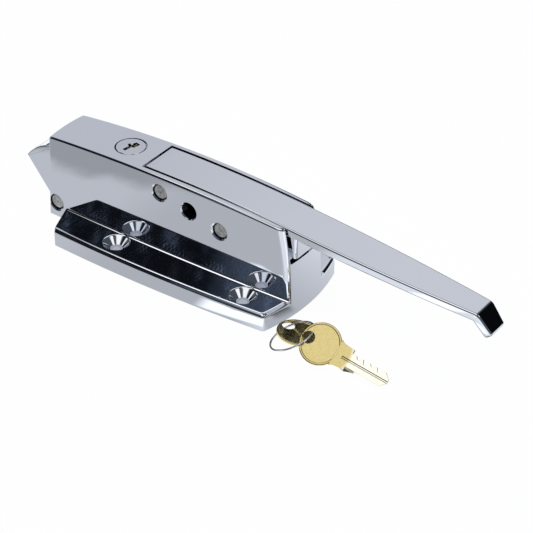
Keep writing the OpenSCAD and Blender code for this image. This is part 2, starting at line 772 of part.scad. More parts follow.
// Cam on the tail of the plug
module lock_cam() {
    end_r = 3.4;
    color(steel) place() translate([lock_x, 0, cam_top - cam_t]) linear_extrude(cam_t) difference() {
        bar([0, 0], [0, -(cam_reach - end_r)], tail_d / 2 + 2.5, end_r);
        circle(d = tail_d);
    }
}

// Screw that holds the cam on the plug
module lock_cam_screw() {
    color(steel) place() translate([lock_x, 0, cam_top - cam_t - cam_head_t])
        cylinder(d = tail_d + 3, h = cam_head_t);
}

// Flat key: round bow with a raised rim, a shoulder and a notched blade with a groove
module key(blade_notches) {
    r = bow_d / 2;
    rim = 1.2;
    sunk = key_t / 5;
    shoulder_x = r + 6;
    shoulder_w = blade_w + 4;
    difference() {
        union() {
            cylinder(r = r, h = key_t, center = true);
            linear_extrude(key_t, center = true)
                polygon([[r / 2, r * 0.75], [shoulder_x - 2, shoulder_w / 2], [shoulder_x, shoulder_w / 2],
                         [shoulder_x, -shoulder_w / 2], [shoulder_x - 2, -shoulder_w / 2],
                         [r / 2, -r * 0.75]]);
            linear_extrude(key_t, center = true)
                polygon([[0, blade_w / 2], [key_l - 3, blade_w / 2], [key_l, 1], [key_l, -1],
                         [key_l - 3, -blade_w / 2], [0, -blade_w / 2]]);
        }
        translate([-hole_back, 0]) cylinder(d = bow_hole_d, h = 3 * key_t, center = true);
        for (n = blade_notches)
            linear_extrude(3 * key_t, center = true)
                polygon([[n[0] - 2.2, blade_w], [n[0] - 0.7, blade_w / 2 - n[1]],
                         [n[0] + 0.7, blade_w / 2 - n[1]], [n[0] + 2.2, blade_w]]);
        for (s = [0, 1]) mirror([0, 0, s]) {
            translate([0, 0, key_t / 2 - sunk]) linear_extrude(key_t) difference() {
                circle(r - rim);
                translate([r * 0.62, -r]) square([2 * r, 2 * r]);
            }
            translate([shoulder_x - 3, -blade_w / 6, key_t / 2 - sunk])
                cube([key_l, blade_w / 3, key_t]);
        }
    }
}

// Key that leans on the ring
module key_front() {
    color(brass) place() translate(front_key_at) rotate(front_key_turn)
        key([[21, 1.6], [25, 2.4], [29, 1.2], [33, 2]]);
}

// Key that lies flat behind it
module key_rear() {
    color(brass) place() translate(rear_key_at) rotate(rear_key_turn)
        key([[21, 1.6], [25, 2.4], [29, 1.2], [33, 2]]);
}

// Ring through both bows
module key_ring() {
    color(steel) place() translate(ring_at)
        rotate([0, acos(ring_axis[2]), atan2(ring_axis[1], ring_axis[0])])
        rotate_extrude() translate([ring_d / 2, 0]) circle(d = ring_wire, $fn = 24);
}

housing();
handle_lever();
handle_bushes();
handle_spring();
handle_pivot_pin();
stop_pin();
stop_sleeve();
pull_link();
link_rear_pin();
link_spacers();
pawl();
link_front_pin();
pawl_pivot_pin();
pawl_washers();
pawl_spring();
lock_cylinder();
lock_clip();
lock_plug();
lock_wafers();
lock_cam();
lock_cam_screw();
key_front();
key_rear();
key_ring();
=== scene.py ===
# %% [markdown]
# # A chromed latch for a walk-in cold room door
# The latch is a zinc casting with a mirror of chrome on it, so nearly everything that the eye sees is a
# reflection. Two things then decide the picture: how smooth the surfaces are, and what stands round them.
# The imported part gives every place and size. The pieces that show are made again here as finer surfaces.

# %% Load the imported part
import math

import bmesh
import bpy
import numpy as np
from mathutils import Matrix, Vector


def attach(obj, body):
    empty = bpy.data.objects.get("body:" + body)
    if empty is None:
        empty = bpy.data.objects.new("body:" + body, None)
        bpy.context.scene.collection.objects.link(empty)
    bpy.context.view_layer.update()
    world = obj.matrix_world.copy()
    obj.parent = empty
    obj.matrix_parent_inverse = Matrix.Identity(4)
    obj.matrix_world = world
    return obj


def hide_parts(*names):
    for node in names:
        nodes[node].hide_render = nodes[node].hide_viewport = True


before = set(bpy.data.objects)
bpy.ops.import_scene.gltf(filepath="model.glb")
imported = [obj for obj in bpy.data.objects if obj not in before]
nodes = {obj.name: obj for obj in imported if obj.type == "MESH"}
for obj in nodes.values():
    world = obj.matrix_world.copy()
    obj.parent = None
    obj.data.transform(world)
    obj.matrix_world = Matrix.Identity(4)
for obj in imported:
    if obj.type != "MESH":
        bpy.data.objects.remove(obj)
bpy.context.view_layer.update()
scene = bpy.context.scene
scene.view_settings.view_transform = "Standard"

# %% [markdown]
# ## The camera
# A product photograph like this is taken from well back with a long lens, so the latch shows little
# perspective. Eye, target and focal length come from fitting known corners of the latch to the picture.

# %% Camera
PHOTO_WIDTH = 533
FOCAL_PIXELS = 2056
SENSOR = 36.0
EYE = Vector((0.5477, -0.7101, 0.6212))
TARGET = Vector((0.03926, 0.0, 0.01343))

camera = bpy.data.objects.new("camera", bpy.data.cameras.new("camera"))
scene.collection.objects.link(camera)
camera.data.sensor_width = SENSOR
camera.data.lens = FOCAL_PIXELS / PHOTO_WIDTH * SENSOR
camera.location = EYE
camera.rotation_euler = (TARGET - EYE).to_track_quat("-Z", "Y").to_euler()
scene.camera = camera
print("lens", round(camera.data.lens, 1), "mm")

# %% [markdown]
# ## Surfaces from arrays
# A shape can be pushed out of primitives by hand, or worked out as an array of points on a grid. The array
# is chosen here, because a mirror shows each uneven facet, and a formula has none. Lengths are in
# millimetres from the pawl end of the front face, as on the drawing, until the mesh is made.

# %% Grid to mesh
MM = 0.001
MIDDLE_X = 93.0


def piece_from(name, points, faces):
    """An object from points in millimetres and faces as rows of point numbers, turned outward."""
    mesh = bpy.data.meshes.new(name)
    mesh.from_pydata(((points - [MIDDLE_X, 0, 0]) * MM).tolist(), [], faces)
    shell = bmesh.new()
    shell.from_mesh(mesh)
    bmesh.ops.remove_doubles(shell, verts=shell.verts, dist=1e-7)
    bmesh.ops.recalc_face_normals(shell, faces=shell.faces)
    shell.to_mesh(mesh)
    shell.free()
    obj = bpy.data.objects.new(name, mesh)
    scene.collection.objects.link(obj)
    return obj


def side_faces(rows, cols, joined=False):
    """Quads of a grid of loops: point c of a row joins c + 1, and the same two of the next row."""
    number = np.arange(rows * cols).reshape(rows, cols)
    ahead = np.roll(number, -1, axis=1)
    up, up_ahead = np.roll(number, -1, axis=0), np.roll(ahead, -1, axis=0)
    quads = np.stack([number, ahead, up_ahead, up], axis=-1)
    return (quads if joined else quads[:-1]).reshape(-1, 4).tolist(), number


def skin(name, rings, joined=False):
    """A closed skin over a stack of loops: flat faces close the ends, or the last loop joins the first."""
    rows, cols = rings.shape[:2]
    faces, number = side_faces(rows, cols, joined)
    if not joined:
        faces += [number[0, ::-1].tolist(), number[-1].tolist()]
    return piece_from(name, rings.reshape(-1, 3), faces)


def mirrored_skin(name, halves):
    """A closed skin over half loops that mirror across y = 0, with strips across the first and last loop."""
    rows, n = halves.shape[:2]
    rings = np.concatenate([halves, halves[:, -2:0:-1] * [1, -1, 1]], axis=1)
    m = 2 * n - 2
    faces, number = side_faces(rows, m)
    i = np.arange(1, n - 2)
    strips = np.stack([i, i + 1, m - i - 1, m - i], axis=-1)
    ends = [[0, 1, m - 1], [n - 2, n - 1, n]]
    for base in (0, (rows - 1) * m):
        faces += (strips + base).tolist() + [[k + base for k in e] for e in ends]
    return piece_from(name, rings.reshape(-1, 3), faces)


# %% [markdown]
# ## Turned and pressed shapes
# Pins and bores are turned, so a profile goes round an axis. Links and keys are pressed from plate, so an
# outline gets a thickness, and its edges are rolled over by a quarter circle.

# %% Turned shapes
def turned(name, profile, at, axis, count=72, joined=False, place=None):
    """A profile of radius and height pairs carried round an axis: at + r cos t u + r sin t v + h axis."""
    axis = np.array(axis, float)
    u = np.cross(axis, [0.0, 0.0, 1.0] if abs(axis[2]) < 0.9 else [1.0, 0.0, 0.0])
    u /= np.linalg.norm(u)
    v = np.cross(axis, u)
    t = np.linspace(0, 2 * np.pi, count, endpoint=False)[None, :, None]
    r, h = (np.array(profile, float).T)[:, :, None, None]
    rings = np.array(at, float) + r * (np.cos(t) * u + np.sin(t) * v) + h * axis
    return skin(name, rings if place is None else place(rings), joined)


# %% Pressed shapes
def inset(outline, depth):
    """An outline moved inward: each corner goes along the middle of its two edge normals."""
    ahead = np.roll(outline, -1, axis=0) - outline
    ahead /= np.linalg.norm(ahead, axis=1, keepdims=True)
    behind = np.roll(ahead, 1, axis=0)
    left = np.stack([-ahead[:, 1], ahead[:, 0]], axis=1)
    left_behind = np.stack([-behind[:, 1], behind[:, 0]], axis=1)
    middle = left + left_behind
    return outline + depth * 2 * middle / np.sum(middle * middle, axis=1, keepdims=True)


def plate(name, outline, low, high, lay="flat", edge=0.0, steps=4, place=None):
    """A counterclockwise outline with a thickness, flat or in the side view, with its edges rolled over."""
    outline = np.array(outline, float)
    a = np.linspace(0, np.pi / 2, steps + 1) if edge else np.array([np.pi / 2])
    lower = [(edge * (1 - math.sin(t)), low + edge * (1 - math.cos(t))) for t in a]
    upper = [(d, high + low - z) for d, z in reversed(lower)]
    loops = [np.column_stack([inset(outline, d) if d else outline, np.full(len(outline), z)])
             for d, z in lower + upper]
    rings = np.array(loops)
    if lay == "side":
        rings = rings[:, :, [0, 2, 1]]
    return skin(name, rings if place is None else place(rings))


def box(name, low, high):
    """A block between two corners, as a flat outline with a thickness."""
    (x0, y0, z0), (x1, y1, z1) = low, high
    return plate(name, [[x0, y0], [x1, y0], [x1, y1], [x0, y1]], z0, z1)


# %% Arcs and corner curves
def arc(centre, radius, start, end, count):
    """Points of an arc between two angles in degrees."""
    t = np.radians(np.linspace(start, end, count))
    return np.array(centre) + radius * np.column_stack([np.cos(t), np.sin(t)])


def bent(a, control, b, count):
    """Points of a corner curve: (1 - t)^2 a + 2 t (1 - t) control + t^2 b."""
    t = np.linspace(0, 1, count)[:, None]
    return np.array(a) * (1 - t) ** 2 + np.array(control) * 2 * t * (1 - t) + np.array(b) * t ** 2


# %% [markdown]
# ## Joining and cutting
# The casting is one solid with bores and pockets. A boolean is the plain way to that: the outer skins are
# joined, and then the rooms are taken out. The result becomes the mesh, with points that all but touch
# merged.

# %% Joining and cutting
MERGE = 2e-6


def joined_with(obj, tools, how="UNION"):
    """Joins tools to a piece, or takes them out of it, and keeps the result as its mesh."""
    for tool in tools:
        step = obj.modifiers.new("step", "BOOLEAN")
        step.operation = how
        step.solver = "EXACT"
        step.object = tool
    graph = bpy.context.evaluated_depsgraph_get()
    made = bpy.data.meshes.new_from_object(obj.evaluated_get(graph))
    obj.modifiers.clear()
    shell = bmesh.new()
    shell.from_mesh(made)
    bmesh.ops.remove_doubles(shell, verts=shell.verts, dist=MERGE)
    bmesh.ops.delete(shell, geom=[e for e in shell.edges if not e.link_faces], context="EDGES")
    shell.to_mesh(made)
    shell.free()
    obj.data = made
    for tool in tools:
        bpy.data.objects.remove(tool)
    return obj


def cut_by(obj, tools):
    """Takes tools out of a piece."""
    return joined_with(obj, tools, "DIFFERENCE")


# %% [markdown]
# ## Finishes
# Each finish starts from the real metal. Chrome on polished zinc is a mirror: its colour is a cool grey, its
# roughness is near nothing, and only a slow ripple of the polishing wheel bends what it shows. Turned steel
# is grey and mottled, drawn wire is dull, and stamped brass is warm and a bit softer.

# %% Colour and node helpers
def linear(text):
    """An sRGB colour in hex as linear red, green, blue and alpha."""
    value = np.array([int(text[i:i + 2], 16) for i in (1, 3, 5)]) / 255
    low, high = value / 12.92, ((value + 0.055) / 1.055) ** 2.4
    return (*np.where(value <= 0.04045, low, high).tolist(), 1.0)


def add(tree, kind, inputs=None, **settings):
    """Adds a node with its settings, and sets or links its inputs."""
    node = tree.nodes.new(kind)
    for key, value in settings.items():
        setattr(node, key, value)
    for key, value in (inputs or {}).items():
        if isinstance(value, bpy.types.NodeSocket):
            tree.links.new(value, node.inputs[key])
        else:
            node.inputs[key].default_value = value
    return node


# %% A metal
def metal(name, colour, rough, ripple_mm, ripple_depth_mm, grain_mm, tint=None):
    """A metal: its roughness varies with a grain, and a ripple of a real size bends the surface."""
    material = bpy.data.materials.new(name)
    material.use_nodes = True
    tree = material.node_tree
    shader = tree.nodes["Principled BSDF"]
    shader.inputs["Base Color"].default_value = linear(colour)
    shader.inputs["Metallic"].default_value = 1.0
    where = add(tree, "ShaderNodeTexCoord").outputs["Object"]
    grain = add(tree, "ShaderNodeTexNoise",
                {"Vector": where, "Scale": 1000 / grain_mm, "Detail": 4.0, "Roughness": 0.6})
    spread = add(tree, "ShaderNodeMapRange",
                 {"Value": grain.outputs["Fac"], "From Min": 0.3, "From Max": 0.7,
                  "To Min": rough[0], "To Max": rough[1]})
    tree.links.new(spread.outputs["Result"], shader.inputs["Roughness"])
    ripple = add(tree, "ShaderNodeTexNoise",
                 {"Vector": where, "Scale": 1000 / ripple_mm, "Detail": 2.0, "Roughness": 0.4})
    bump = add(tree, "ShaderNodeBump",
               {"Height": ripple.outputs["Fac"], "Strength": 1.0, "Distance": ripple_depth_mm * MM})
    tree.links.new(bump.outputs["Normal"], shader.inputs["Normal"])
    if tint:
        shade = add(tree, "ShaderNodeMix",
                    {"Factor": grain.outputs["Fac"], 6: linear(colour), 7: linear(tint)}, data_type="RGBA")
        tree.links.new(shade.outputs[2], shader.inputs["Base Color"])
    return material


# %% [markdown]
# Each line below gives a finish its name, its colour, its range of roughness, the length and depth of its
# ripple and the size of its grain, these three in millimetres. Where a metal isn't even, a second colour is
# that of its duller grains. Real grains are finer than these, and they are drawn coarser so that they show.

# %% The finishes of this latch
CHROME_TONE = "#E4E7ED"
# A mirror that takes the light and dark of the room, with a slow waver from the polishing wheel.
chrome = metal("chrome plate on polished zinc", CHROME_TONE, (0.015, 0.05), 26.0, 0.012, 5.0)
# The same mirror, but softer, because a turned face keeps fine tool marks.
lock_chrome = metal("chrome plate on turned brass", "#DEE1E7", (0.05, 0.12), 8.0, 0.004, 2.0)
# The cut end of a bar: grey, dull and mottled.
pin_steel = metal("turned pin steel", "#F6F5F0", (0.25, 0.45), 0.9, 0.03, 1.6, "#66645E")
# Flat grey with a soft sheen, as barrel plating leaves it.
zinc_plate = metal("zinc plated strip steel", "#B4B5B0", (0.25, 0.45), 3.0, 0.01, 1.2, "#8F918D")
# Dark and dull from the drawing die.
spring_wire = metal("drawn spring wire", "#7B7C7E", (0.25, 0.4), 1.5, 0.01, 0.7, "#5B5C5E")
# Bright and a little warm, with soft highlights.
ring_wire = metal("nickel plated wire", "#ECECEA", (0.10, 0.20), 2.5, 0.01, 0.9)
# Brown and matt, because its pores hold oil.
bronze = metal("sintered bronze", "#B98B55", (0.35, 0.6), 0.7, 0.02, 0.5, "#8C6439")
# Pale gold with a soft shine, and faint clouds from the press.
brass = metal("stamped key brass", "#DCCD95", (0.12, 0.24), 3.5, 0.02, 1.0, "#CDB979")
print("finishes", len(bpy.data.materials))

# %% [markdown]
# Nylon is the one plastic here: black, moulded, with a fine dull skin. Its mottling is drawn coarser than
# life so that it shows at all.

# %% Moulded nylon
nylon = bpy.data.materials.new("moulded nylon")
nylon.use_nodes = True
nylon_tree = nylon.node_tree
nylon_shader = nylon_tree.nodes["Principled BSDF"]
nylon_shader.inputs["IOR"].default_value = 1.53
nylon_place = add(nylon_tree, "ShaderNodeTexCoord").outputs["Object"]
nylon_mottle = add(nylon_tree, "ShaderNodeTexNoise",
                   {"Vector": nylon_place, "Scale": 1000 / 0.8, "Detail": 3.0})
nylon_shade = add(nylon_tree, "ShaderNodeMix",
                  {"Factor": nylon_mottle.outputs["Fac"], 6: linear("#1B1B1C"), 7: linear("#2A2A2B")},
                  data_type="RGBA")
nylon_rough = add(nylon_tree, "ShaderNodeMapRange",
                  {"Value": nylon_mottle.outputs["Fac"], "To Min": 0.4, "To Max": 0.65})
nylon_tree.links.new(nylon_shade.outputs[2], nylon_shader.inputs["Base Color"])
nylon_tree.links.new(nylon_rough.outputs["Result"], nylon_shader.inputs["Roughness"])
print("moulded nylon ready")

# %% [markdown]
# ## From mesh to piece
# A made piece is shaded smooth up to its sharp edges. Weighted normals keep the broad faces even, so that
# small rounded edges don't bend what they reflect. Then it gets its finish, it is hung on an empty for the
# body that it rides on, and the imported solid that it stands for is hidden.

# %% Finish of a made piece
SHARP = math.radians(32)


def finished(obj, body, node, material):
    """Shades a piece smooth up to its sharp edges, finishes it, hangs it on its body, hides the solid it
    stands for.
    """
    mesh = obj.data
    mesh.materials.clear()
    mesh.materials.append(material)
    mesh.polygons.foreach_set("use_smooth", np.ones(len(mesh.polygons), bool))
    mesh.polygons.foreach_set("material_index", np.zeros(len(mesh.polygons), np.int32))
    mesh.set_sharp_from_angle(angle=SHARP)
    even = obj.modifiers.new("even shading", "WEIGHTED_NORMAL")
    even.keep_sharp = True
    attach(obj, body)
    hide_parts(node)
    print(obj.name, len(mesh.polygons), "faces")
    return obj


# %% [markdown]
# ## The casting
# The housing is long and slim. Its front is a slow crown, its sides are barrelled, the pawl end leans out,
# and the handle end is one arc in plan that leans back as it rises. Half of each level's outline is enough,
# because the two sides are alike. The rounding toward the front is a stack of such outlines.

# %% Lines of the casting
CROWN_H = 55.4


def half_width(x):
    """Half width of the body: 16 less a parabola with its top at 85."""
    return 16.0 - 1.6 * ((x - 85.0) / 85.0) ** 2


def crown(x):
    """Height of the front: 55.4 less a parabola with its top at 72."""
    return CROWN_H - (x - 72.0) ** 2 / 1700.0


def pawl_end(y, z):
    """Pawl end: a bulge across, and a lean that grows toward the foot."""
    return -1.3 * (1 - (y / half_width(0)) ** 2) - 3.3 * (1 - z / crown(0))


def handle_end(y, z):
    """Handle end: an arc in plan, less a rise that leans it back above 8."""
    return 158.3 - y * y / 210.0 - np.maximum(0, z - 8.0) ** 2 / 400.0


print("body", round(2 * float(half_width(85.0)), 1), "mm wide and", CROWN_H, "mm high")

# %% Outline of the body
CORNER_FOOT, CORNER_TOP = 1.2, 3.6
CORNER_LONG = 1.6
FOOT_BACK = 0.05


def body_loop(z, depth, drop=None, pawl_r=0.9):
    """Half outline at a level: pawl end, corner, side, corner and handle end, moved in by a depth.

    At the foot the handle end stands back a little, so that it doesn't lie on the end of the flanges."""
    reach = half_width(0) - depth
    end_r = CORNER_FOOT + (CORNER_TOP - CORNER_FOOT) * z / CROWN_H
    y = np.linspace(0, -(reach - pawl_r), 10)
    front = np.column_stack([pawl_end(y, z) + depth, y])
    x0 = pawl_end(reach, z) + depth
    x1 = handle_end(half_width(153) - depth, z) - depth
    x = np.linspace(x0 + pawl_r, x1 - CORNER_LONG * end_r, 70)
    side = np.column_stack([x, depth - half_width(x)])
    corner_y = depth - half_width(x1)
    y = np.linspace(corner_y + end_r, 0, 26)
    end = np.column_stack([handle_end(y, z) - depth - FOOT_BACK * (z == 0), y])
    flat = np.concatenate([front, bent(front[-1], [x0, -reach], side[0], 7)[1:-1], side,
                           bent(side[-1], [x1, corner_y], end[0], 10)[1:-1], end])
    height = np.full(len(flat), z) if drop is None else crown(flat[:, 0]) - drop
    return np.column_stack([flat, height])


# %% Outline of the flanges
def flange_side(x):
    """Half width over the flanges: 35.7 less a parabola with its top at 73.5."""
    return 35.7 - (x - 73.5) ** 2 / 1920.0


def flange_loop(z, depth, start=9.2, slant=7.6, curve=0.8, end_r=1.2):
    """Half outline of the flanges: foot, slanted end, corner, long edge, corner, handle end."""
    foot = np.array([start, -half_width(start)])
    way = foot - [start + slant, -flange_side(start + slant)]
    outer = foot - way * (1 - depth / way[1])
    way /= np.linalg.norm(way)
    x1 = handle_end(flange_side(154) - depth, 0) - depth
    x = np.linspace(outer[0] + curve, x1 - end_r, 60)
    side = np.column_stack([x, depth - flange_side(x)])
    corner_y = depth - flange_side(x1)
    y = np.linspace(corner_y + end_r, 0, 36)
    end = np.column_stack([handle_end(y, 0) - depth, y])
    flat = np.concatenate([[[foot[0] - 2, 0]], [foot],
                           bent(outer + way * curve, outer, side[0], 6)[:-1], side,
                           bent(side[-1], [x1, corner_y], end[0], 8)[1:-1], end])
    return np.column_stack([flat, np.full(len(flat), z)])


# %% [markdown]
# The outlines of the body and of the flanges are stacked into two closed skins. The last outlines of each
# stack step in along a quarter circle, which rolls the edge over toward the front.

# %% Skins of the casting
EDGE = 1.5
FLANGE_T = 10.0
FLANGE_EDGE = 2.6
SHOULDER = crown(158.3) - EDGE
round_off = np.radians(np.linspace(0, 90, 8))
levels = SHOULDER * np.array([0, 0.2, 0.4, 0.6, 0.8, 0.96])
body_loops = [body_loop(z, 0.0) for z in levels]
body_loops += [body_loop(SHOULDER, 0.0, EDGE + 0.5)]
body_loops += [body_loop(SHOULDER, EDGE * (1 - math.cos(a)), EDGE * (1 - math.sin(a))) for a in round_off]
body_loops += [body_loop(SHOULDER, EDGE + 0.4, 0.0)]
housing = mirrored_skin("housing_casting", np.array(body_loops))

flange_loops = [flange_loop(0.0, 0.0)]
flange_loops += [flange_loop(FLANGE_T - FLANGE_EDGE * (1 - math.sin(a)), FLANGE_EDGE * (1 - math.cos(a)))
                 for a in round_off]
flange_loops += [flange_loop(FLANGE_T, FLANGE_EDGE + 0.5)]
flanges = mirrored_skin("flanges", np.array(flange_loops))
print("housing skins", len(housing.data.vertices), len(flanges.data.vertices))

# %% [markdown]
# Where the side stands on the flange, the casting has a small hollow fillet. It is a thin bar whose section
# is carried along the side. The hand polish left a narrow flat in the hollow, which catches the lamp as a
# line.

# %% Fillets along the foot of the sides
FILLET_OUT = np.array([-0.7, 1.9, 1.9, 1.45, 1.05, 0.3, 0.16, 0.05, 0.0, -0.7])
FILLET_UP = np.array([-1.0, -1.0, 0.0, 0.07, 0.2, 0.53, 0.7, 1.05, 1.5, 1.5])


def fillet(name, side):
    """A bar along the foot of one side: its section is two legs closed by a hollow curve with a flat."""
    up = FILLET_UP + FLANGE_T
    t = np.linspace(0, 1, 60)[:, None]
    x1 = handle_end(half_width(156) + FILLET_OUT, up) - 0.05
    x = 11.0 + (x1 - 11.0) * t
    rings = np.stack([x, side * (half_width(x) + FILLET_OUT), np.broadcast_to(up, x.shape)], axis=-1)
    return skin(name, rings)


joined_with(housing, [flanges, fillet("fillet_near", -1), fillet("fillet_far", 1)])
print("joined casting", len(housing.data.polygons))

# %% [markdown]
# ## Rooms and bores of the casting
# The back is open, as on any hollow casting: a narrow room for the pawl, a channel for the handle and the
# link, and a slot in the front where the handle lies. Bores with rounded rims carry the pins, and one more
# is tapped, so its throat is a stack of thread ridges.

# %% Shapes of the bores
SCREW_R = 3.5
ACROSS = (0.0, 1.0, 0.0)
UP = (0.0, 0.0, 1.0)


def across_bar(name, at, radius, half):
    """A round bar across the latch."""
    return turned(name, [(radius, -half), (radius, half)], (at[0], 0, at[1]), ACROSS, 96)


def rimmed_bore(name, at, throat, rim=5.1):
    """A bore across the housing: a throat of radius and depth pairs, and a lip that curves out to the rim."""
    w = float(half_width(at[0]))
    throat = [(r, w - deep) for r, deep in throat]
    lip = throat[:-1] + bent(throat[-1], (rim - 0.3, w - 0.22), (rim + 0.6, w + 0.25), 7).tolist()
    lip += [(rim + 1.4, w + 2)]
    profile = [(r, -h) for r, h in reversed(lip)] + lip
    return turned(name, profile, (at[0], 0, at[1]), ACROSS, 90)


def countersink(name, x, y):
    """A screw hole with a cone at the top of the flange, and a small curved lip round the cone."""
    lip = bent((6.8, FLANGE_T - 0.5), (7.2, FLANGE_T - 0.1), (7.8, FLANGE_T + 0.08), 6).tolist()
    profile = [(SCREW_R, -1), (SCREW_R, FLANGE_T - 3.8)] + lip + [(8.2, FLANGE_T + 1)]
    return turned(name, profile, (x, y, 0), UP, 96)


# %% Rooms of the casting
CHANNEL = 12.65
PAWL_ROOM = 9.3
NOSE_ROOM = 16.55
PIVOT = (75.4, 45.7)
LOCK_X = 44.5
BOSS_R, BOSS_FOOT = 11.45, 41.05
boss = turned("boss", [(BOSS_R, BOSS_FOOT), (BOSS_R, 50.4)], (LOCK_X, 0, 0), UP, 96)
rooms = [
    box("pawl_mouth", (-10, -PAWL_ROOM, -1), (25, PAWL_ROOM, 46.05)),
    box("pawl_room", (3, -PAWL_ROOM, -1), (28, PAWL_ROOM, 48.55)),
    box("channel", (24, -CHANNEL, -1.2), (153.2, CHANNEL, 48.5)),
    box("handle_slot", (PIVOT[0], -CHANNEL, 31), (190, CHANNEL, 86)),
    across_bar("nose_room", PIVOT, NOSE_ROOM, CHANNEL),
    box("raised_end", (-20, -36, -1.4), (9.15, 36, 2.7)),
]
cut_by(housing, rooms)
joined_with(housing, [boss])
print("hollow casting", len(housing.data.polygons))

# %% Bores of the casting
PIN_R = 4.0
RIM_DEEP = 1.1
LOCK_R = 8.75
SCREW_X, SCREW_Y = 41.5, 24.0
PINS = {"pawl": (2.0, 11.4), "pivot": PIVOT, "stop": (113.8, 36.4), "spare": (94.4, 41.5)}
thread = [(3.3 + 0.22 * k + 0.25 * (k % 2), 3.4 - 0.43 * k) for k in range(8)]
throats = {key: thread if key == "spare" else [(PIN_R, RIM_DEEP)] for key in PINS}
bores = [rimmed_bore("bore_" + key, at, throats[key]) for key, at in PINS.items()]
bores += [countersink("sink", MIDDLE_X + sx * SCREW_X, sy * SCREW_Y) for sx in (-1, 1) for sy in (-1, 1)]
top = float(crown(LOCK_X))
bores += [turned("lock_bore", [(LOCK_R, 39), (LOCK_R, top + 1)], (LOCK_X, 0, 0), UP, 128)]
cut_by(housing, bores)
print("cut casting", len(housing.data.polygons))

# %% [markdown]
# Shade falls deep in the recesses, and it is painted into the chrome there. So the foot of each rim, the
# tapped hole, the end of the slot and the flanks of the handle in it get a dark painted shade, which draws
# the lines round pins and handle. It could be a second material on those faces. A share that follows the
# place gives a soft border instead.

# %% Chrome with painted shade
# The dark colour that paints shade into the chrome.
PAINTED_SHADE_TONE = "#1C1D20"


def chrome_with_painted_shade(name, shade_share):
    """A copy of the chrome with painted shade, by a share that a function works out from the place on the
    piece.
    """
    material = chrome.copy()
    material.name = name
    tree = material.node_tree
    where = add(tree, "ShaderNodeTexCoord").outputs["Object"]
    shade = add(tree, "ShaderNodeMix",
                {"Factor": shade_share(tree, where), 6: linear(CHROME_TONE), 7: linear(PAINTED_SHADE_TONE)},
                data_type="RGBA")
    tree.links.new(shade.outputs[2], tree.nodes["Principled BSDF"].inputs["Base Color"])
    return material


# %% Painted shade on the casting
PAINTED_SHADE_R = {"pawl": 4.45, "pivot": 4.45, "stop": 4.45, "spare": 4.7}
PAINTED_SHADE_SOFT = 0.2
SLOT_SOFT = 0.03


def painted_shade_in_recesses(tree, where):
    """Painted shade within a radius of each bore's axis, and at the end of the slot as far out as the channel
    is wide.
    """
    side_view = add(tree, "ShaderNodeVectorMath", {0: where, 1: (1, 0, 1)}, operation="MULTIPLY")

    def within(at, radius, soft):
        """A share by the distance from an axis across: 1 up to a radius, and 0 past a soft border."""
        centre = ((at[0] - MIDDLE_X) * MM, 0, at[1] * MM)
        away = add(tree, "ShaderNodeVectorMath",
                   {0: side_view.outputs["Vector"], 1: centre}, operation="DISTANCE")
        return add(tree, "ShaderNodeMapRange",
                   {"Value": away.outputs["Value"], "From Min": (radius + soft) * MM,
                    "From Max": radius * MM}).outputs["Result"]

    y = add(tree, "ShaderNodeSeparateXYZ", {0: where}).outputs["Y"]
    off_middle = add(tree, "ShaderNodeMath", {0: y}, operation="ABSOLUTE")
    inside = add(tree, "ShaderNodeMapRange",
                 {"Value": off_middle.outputs[0], "From Min": (CHANNEL + 0.1) * MM,
                  "From Max": (CHANNEL + 0.05) * MM})
    slot_end = within(PIVOT, NOSE_ROOM + SLOT_SOFT, SLOT_SOFT)
    # The painted shade starts at the end of the slot, and each bore adds a dark ring of it.
    painted_shade_share = add(tree, "ShaderNodeMath", {0: slot_end, 1: inside.outputs["Result"]}, operation="MULTIPLY")
    for key, radius in PAINTED_SHADE_R.items():
        painted_shade_share = add(tree, "ShaderNodeMath", {0: painted_shade_share.outputs[0], 1: within(PINS[key], radius, PAINTED_SHADE_SOFT)},
                   operation="MAXIMUM")
    return painted_shade_share.outputs[0]


# The chrome of the casting, with shade painted into its recesses.
casting_chrome = chrome_with_painted_shade("chrome plate with painted shade in recesses", painted_shade_in_recesses)
finished(housing, "housing", "housing", casting_chrome)

# %% [markdown]
# ## The handle
# The grip is a flat bar with rolled edges. Its top line follows the crown while it lies in the housing, then
# runs straight on and turns down at the free end. A rounded section is carried along that line.

# %% Section of the grip
GRIP_T = 5.0
GRIP_R = 1.3
GRIP_START = 150.0
BEND_X = 259.3
BEND_R = 5.0
BEND_L = 10.8
TIP_R = 1.2
SLOPE = (GRIP_START - 72.0) / 850.0
BEND = math.radians(50)
NOSE_R = 15.7
GRIP_HALF = 11.85
GRIP_TAPER = 4.35
GRIP_ASIDE = 0.15


def grip_half(x):
    """Half width of the grip: even inside the housing, less a power curve toward the free end."""
    return GRIP_HALF - GRIP_TAPER * (np.maximum(0, x - GRIP_START) / (BEND_X - GRIP_START)) ** 2.2


def grip_top(x):
    """Top line: the crown, then straight on at the slope that it has there."""
    return np.where(x < GRIP_START, crown(x), crown(GRIP_START) - (x - GRIP_START) * math.tan(SLOPE))


def grip_section(half, thick, radius, count=9):
    """Across and up pairs of a bar with rolled edges, from the top left round."""
    r = radius
    corners = [((r - half, -r), 90), ((r - half, r - thick), 180),
               ((half - r, r - thick), 270), ((half - r, -r), 360)]
    return np.concatenate([arc(c, r, a, a + 90, count) for c, a in corners]) + [GRIP_ASIDE, 0]


def grip_ring(x, z, fall, half, thick=GRIP_T, radius=GRIP_R, sink=0.0):
    """A section set square to the top line at one place of it."""
    s = grip_section(half, thick, radius)
    up = s[:, 1] - sink
    return np.column_stack([x + up * math.sin(fall), s[:, 0], z + up * math.cos(fall)])


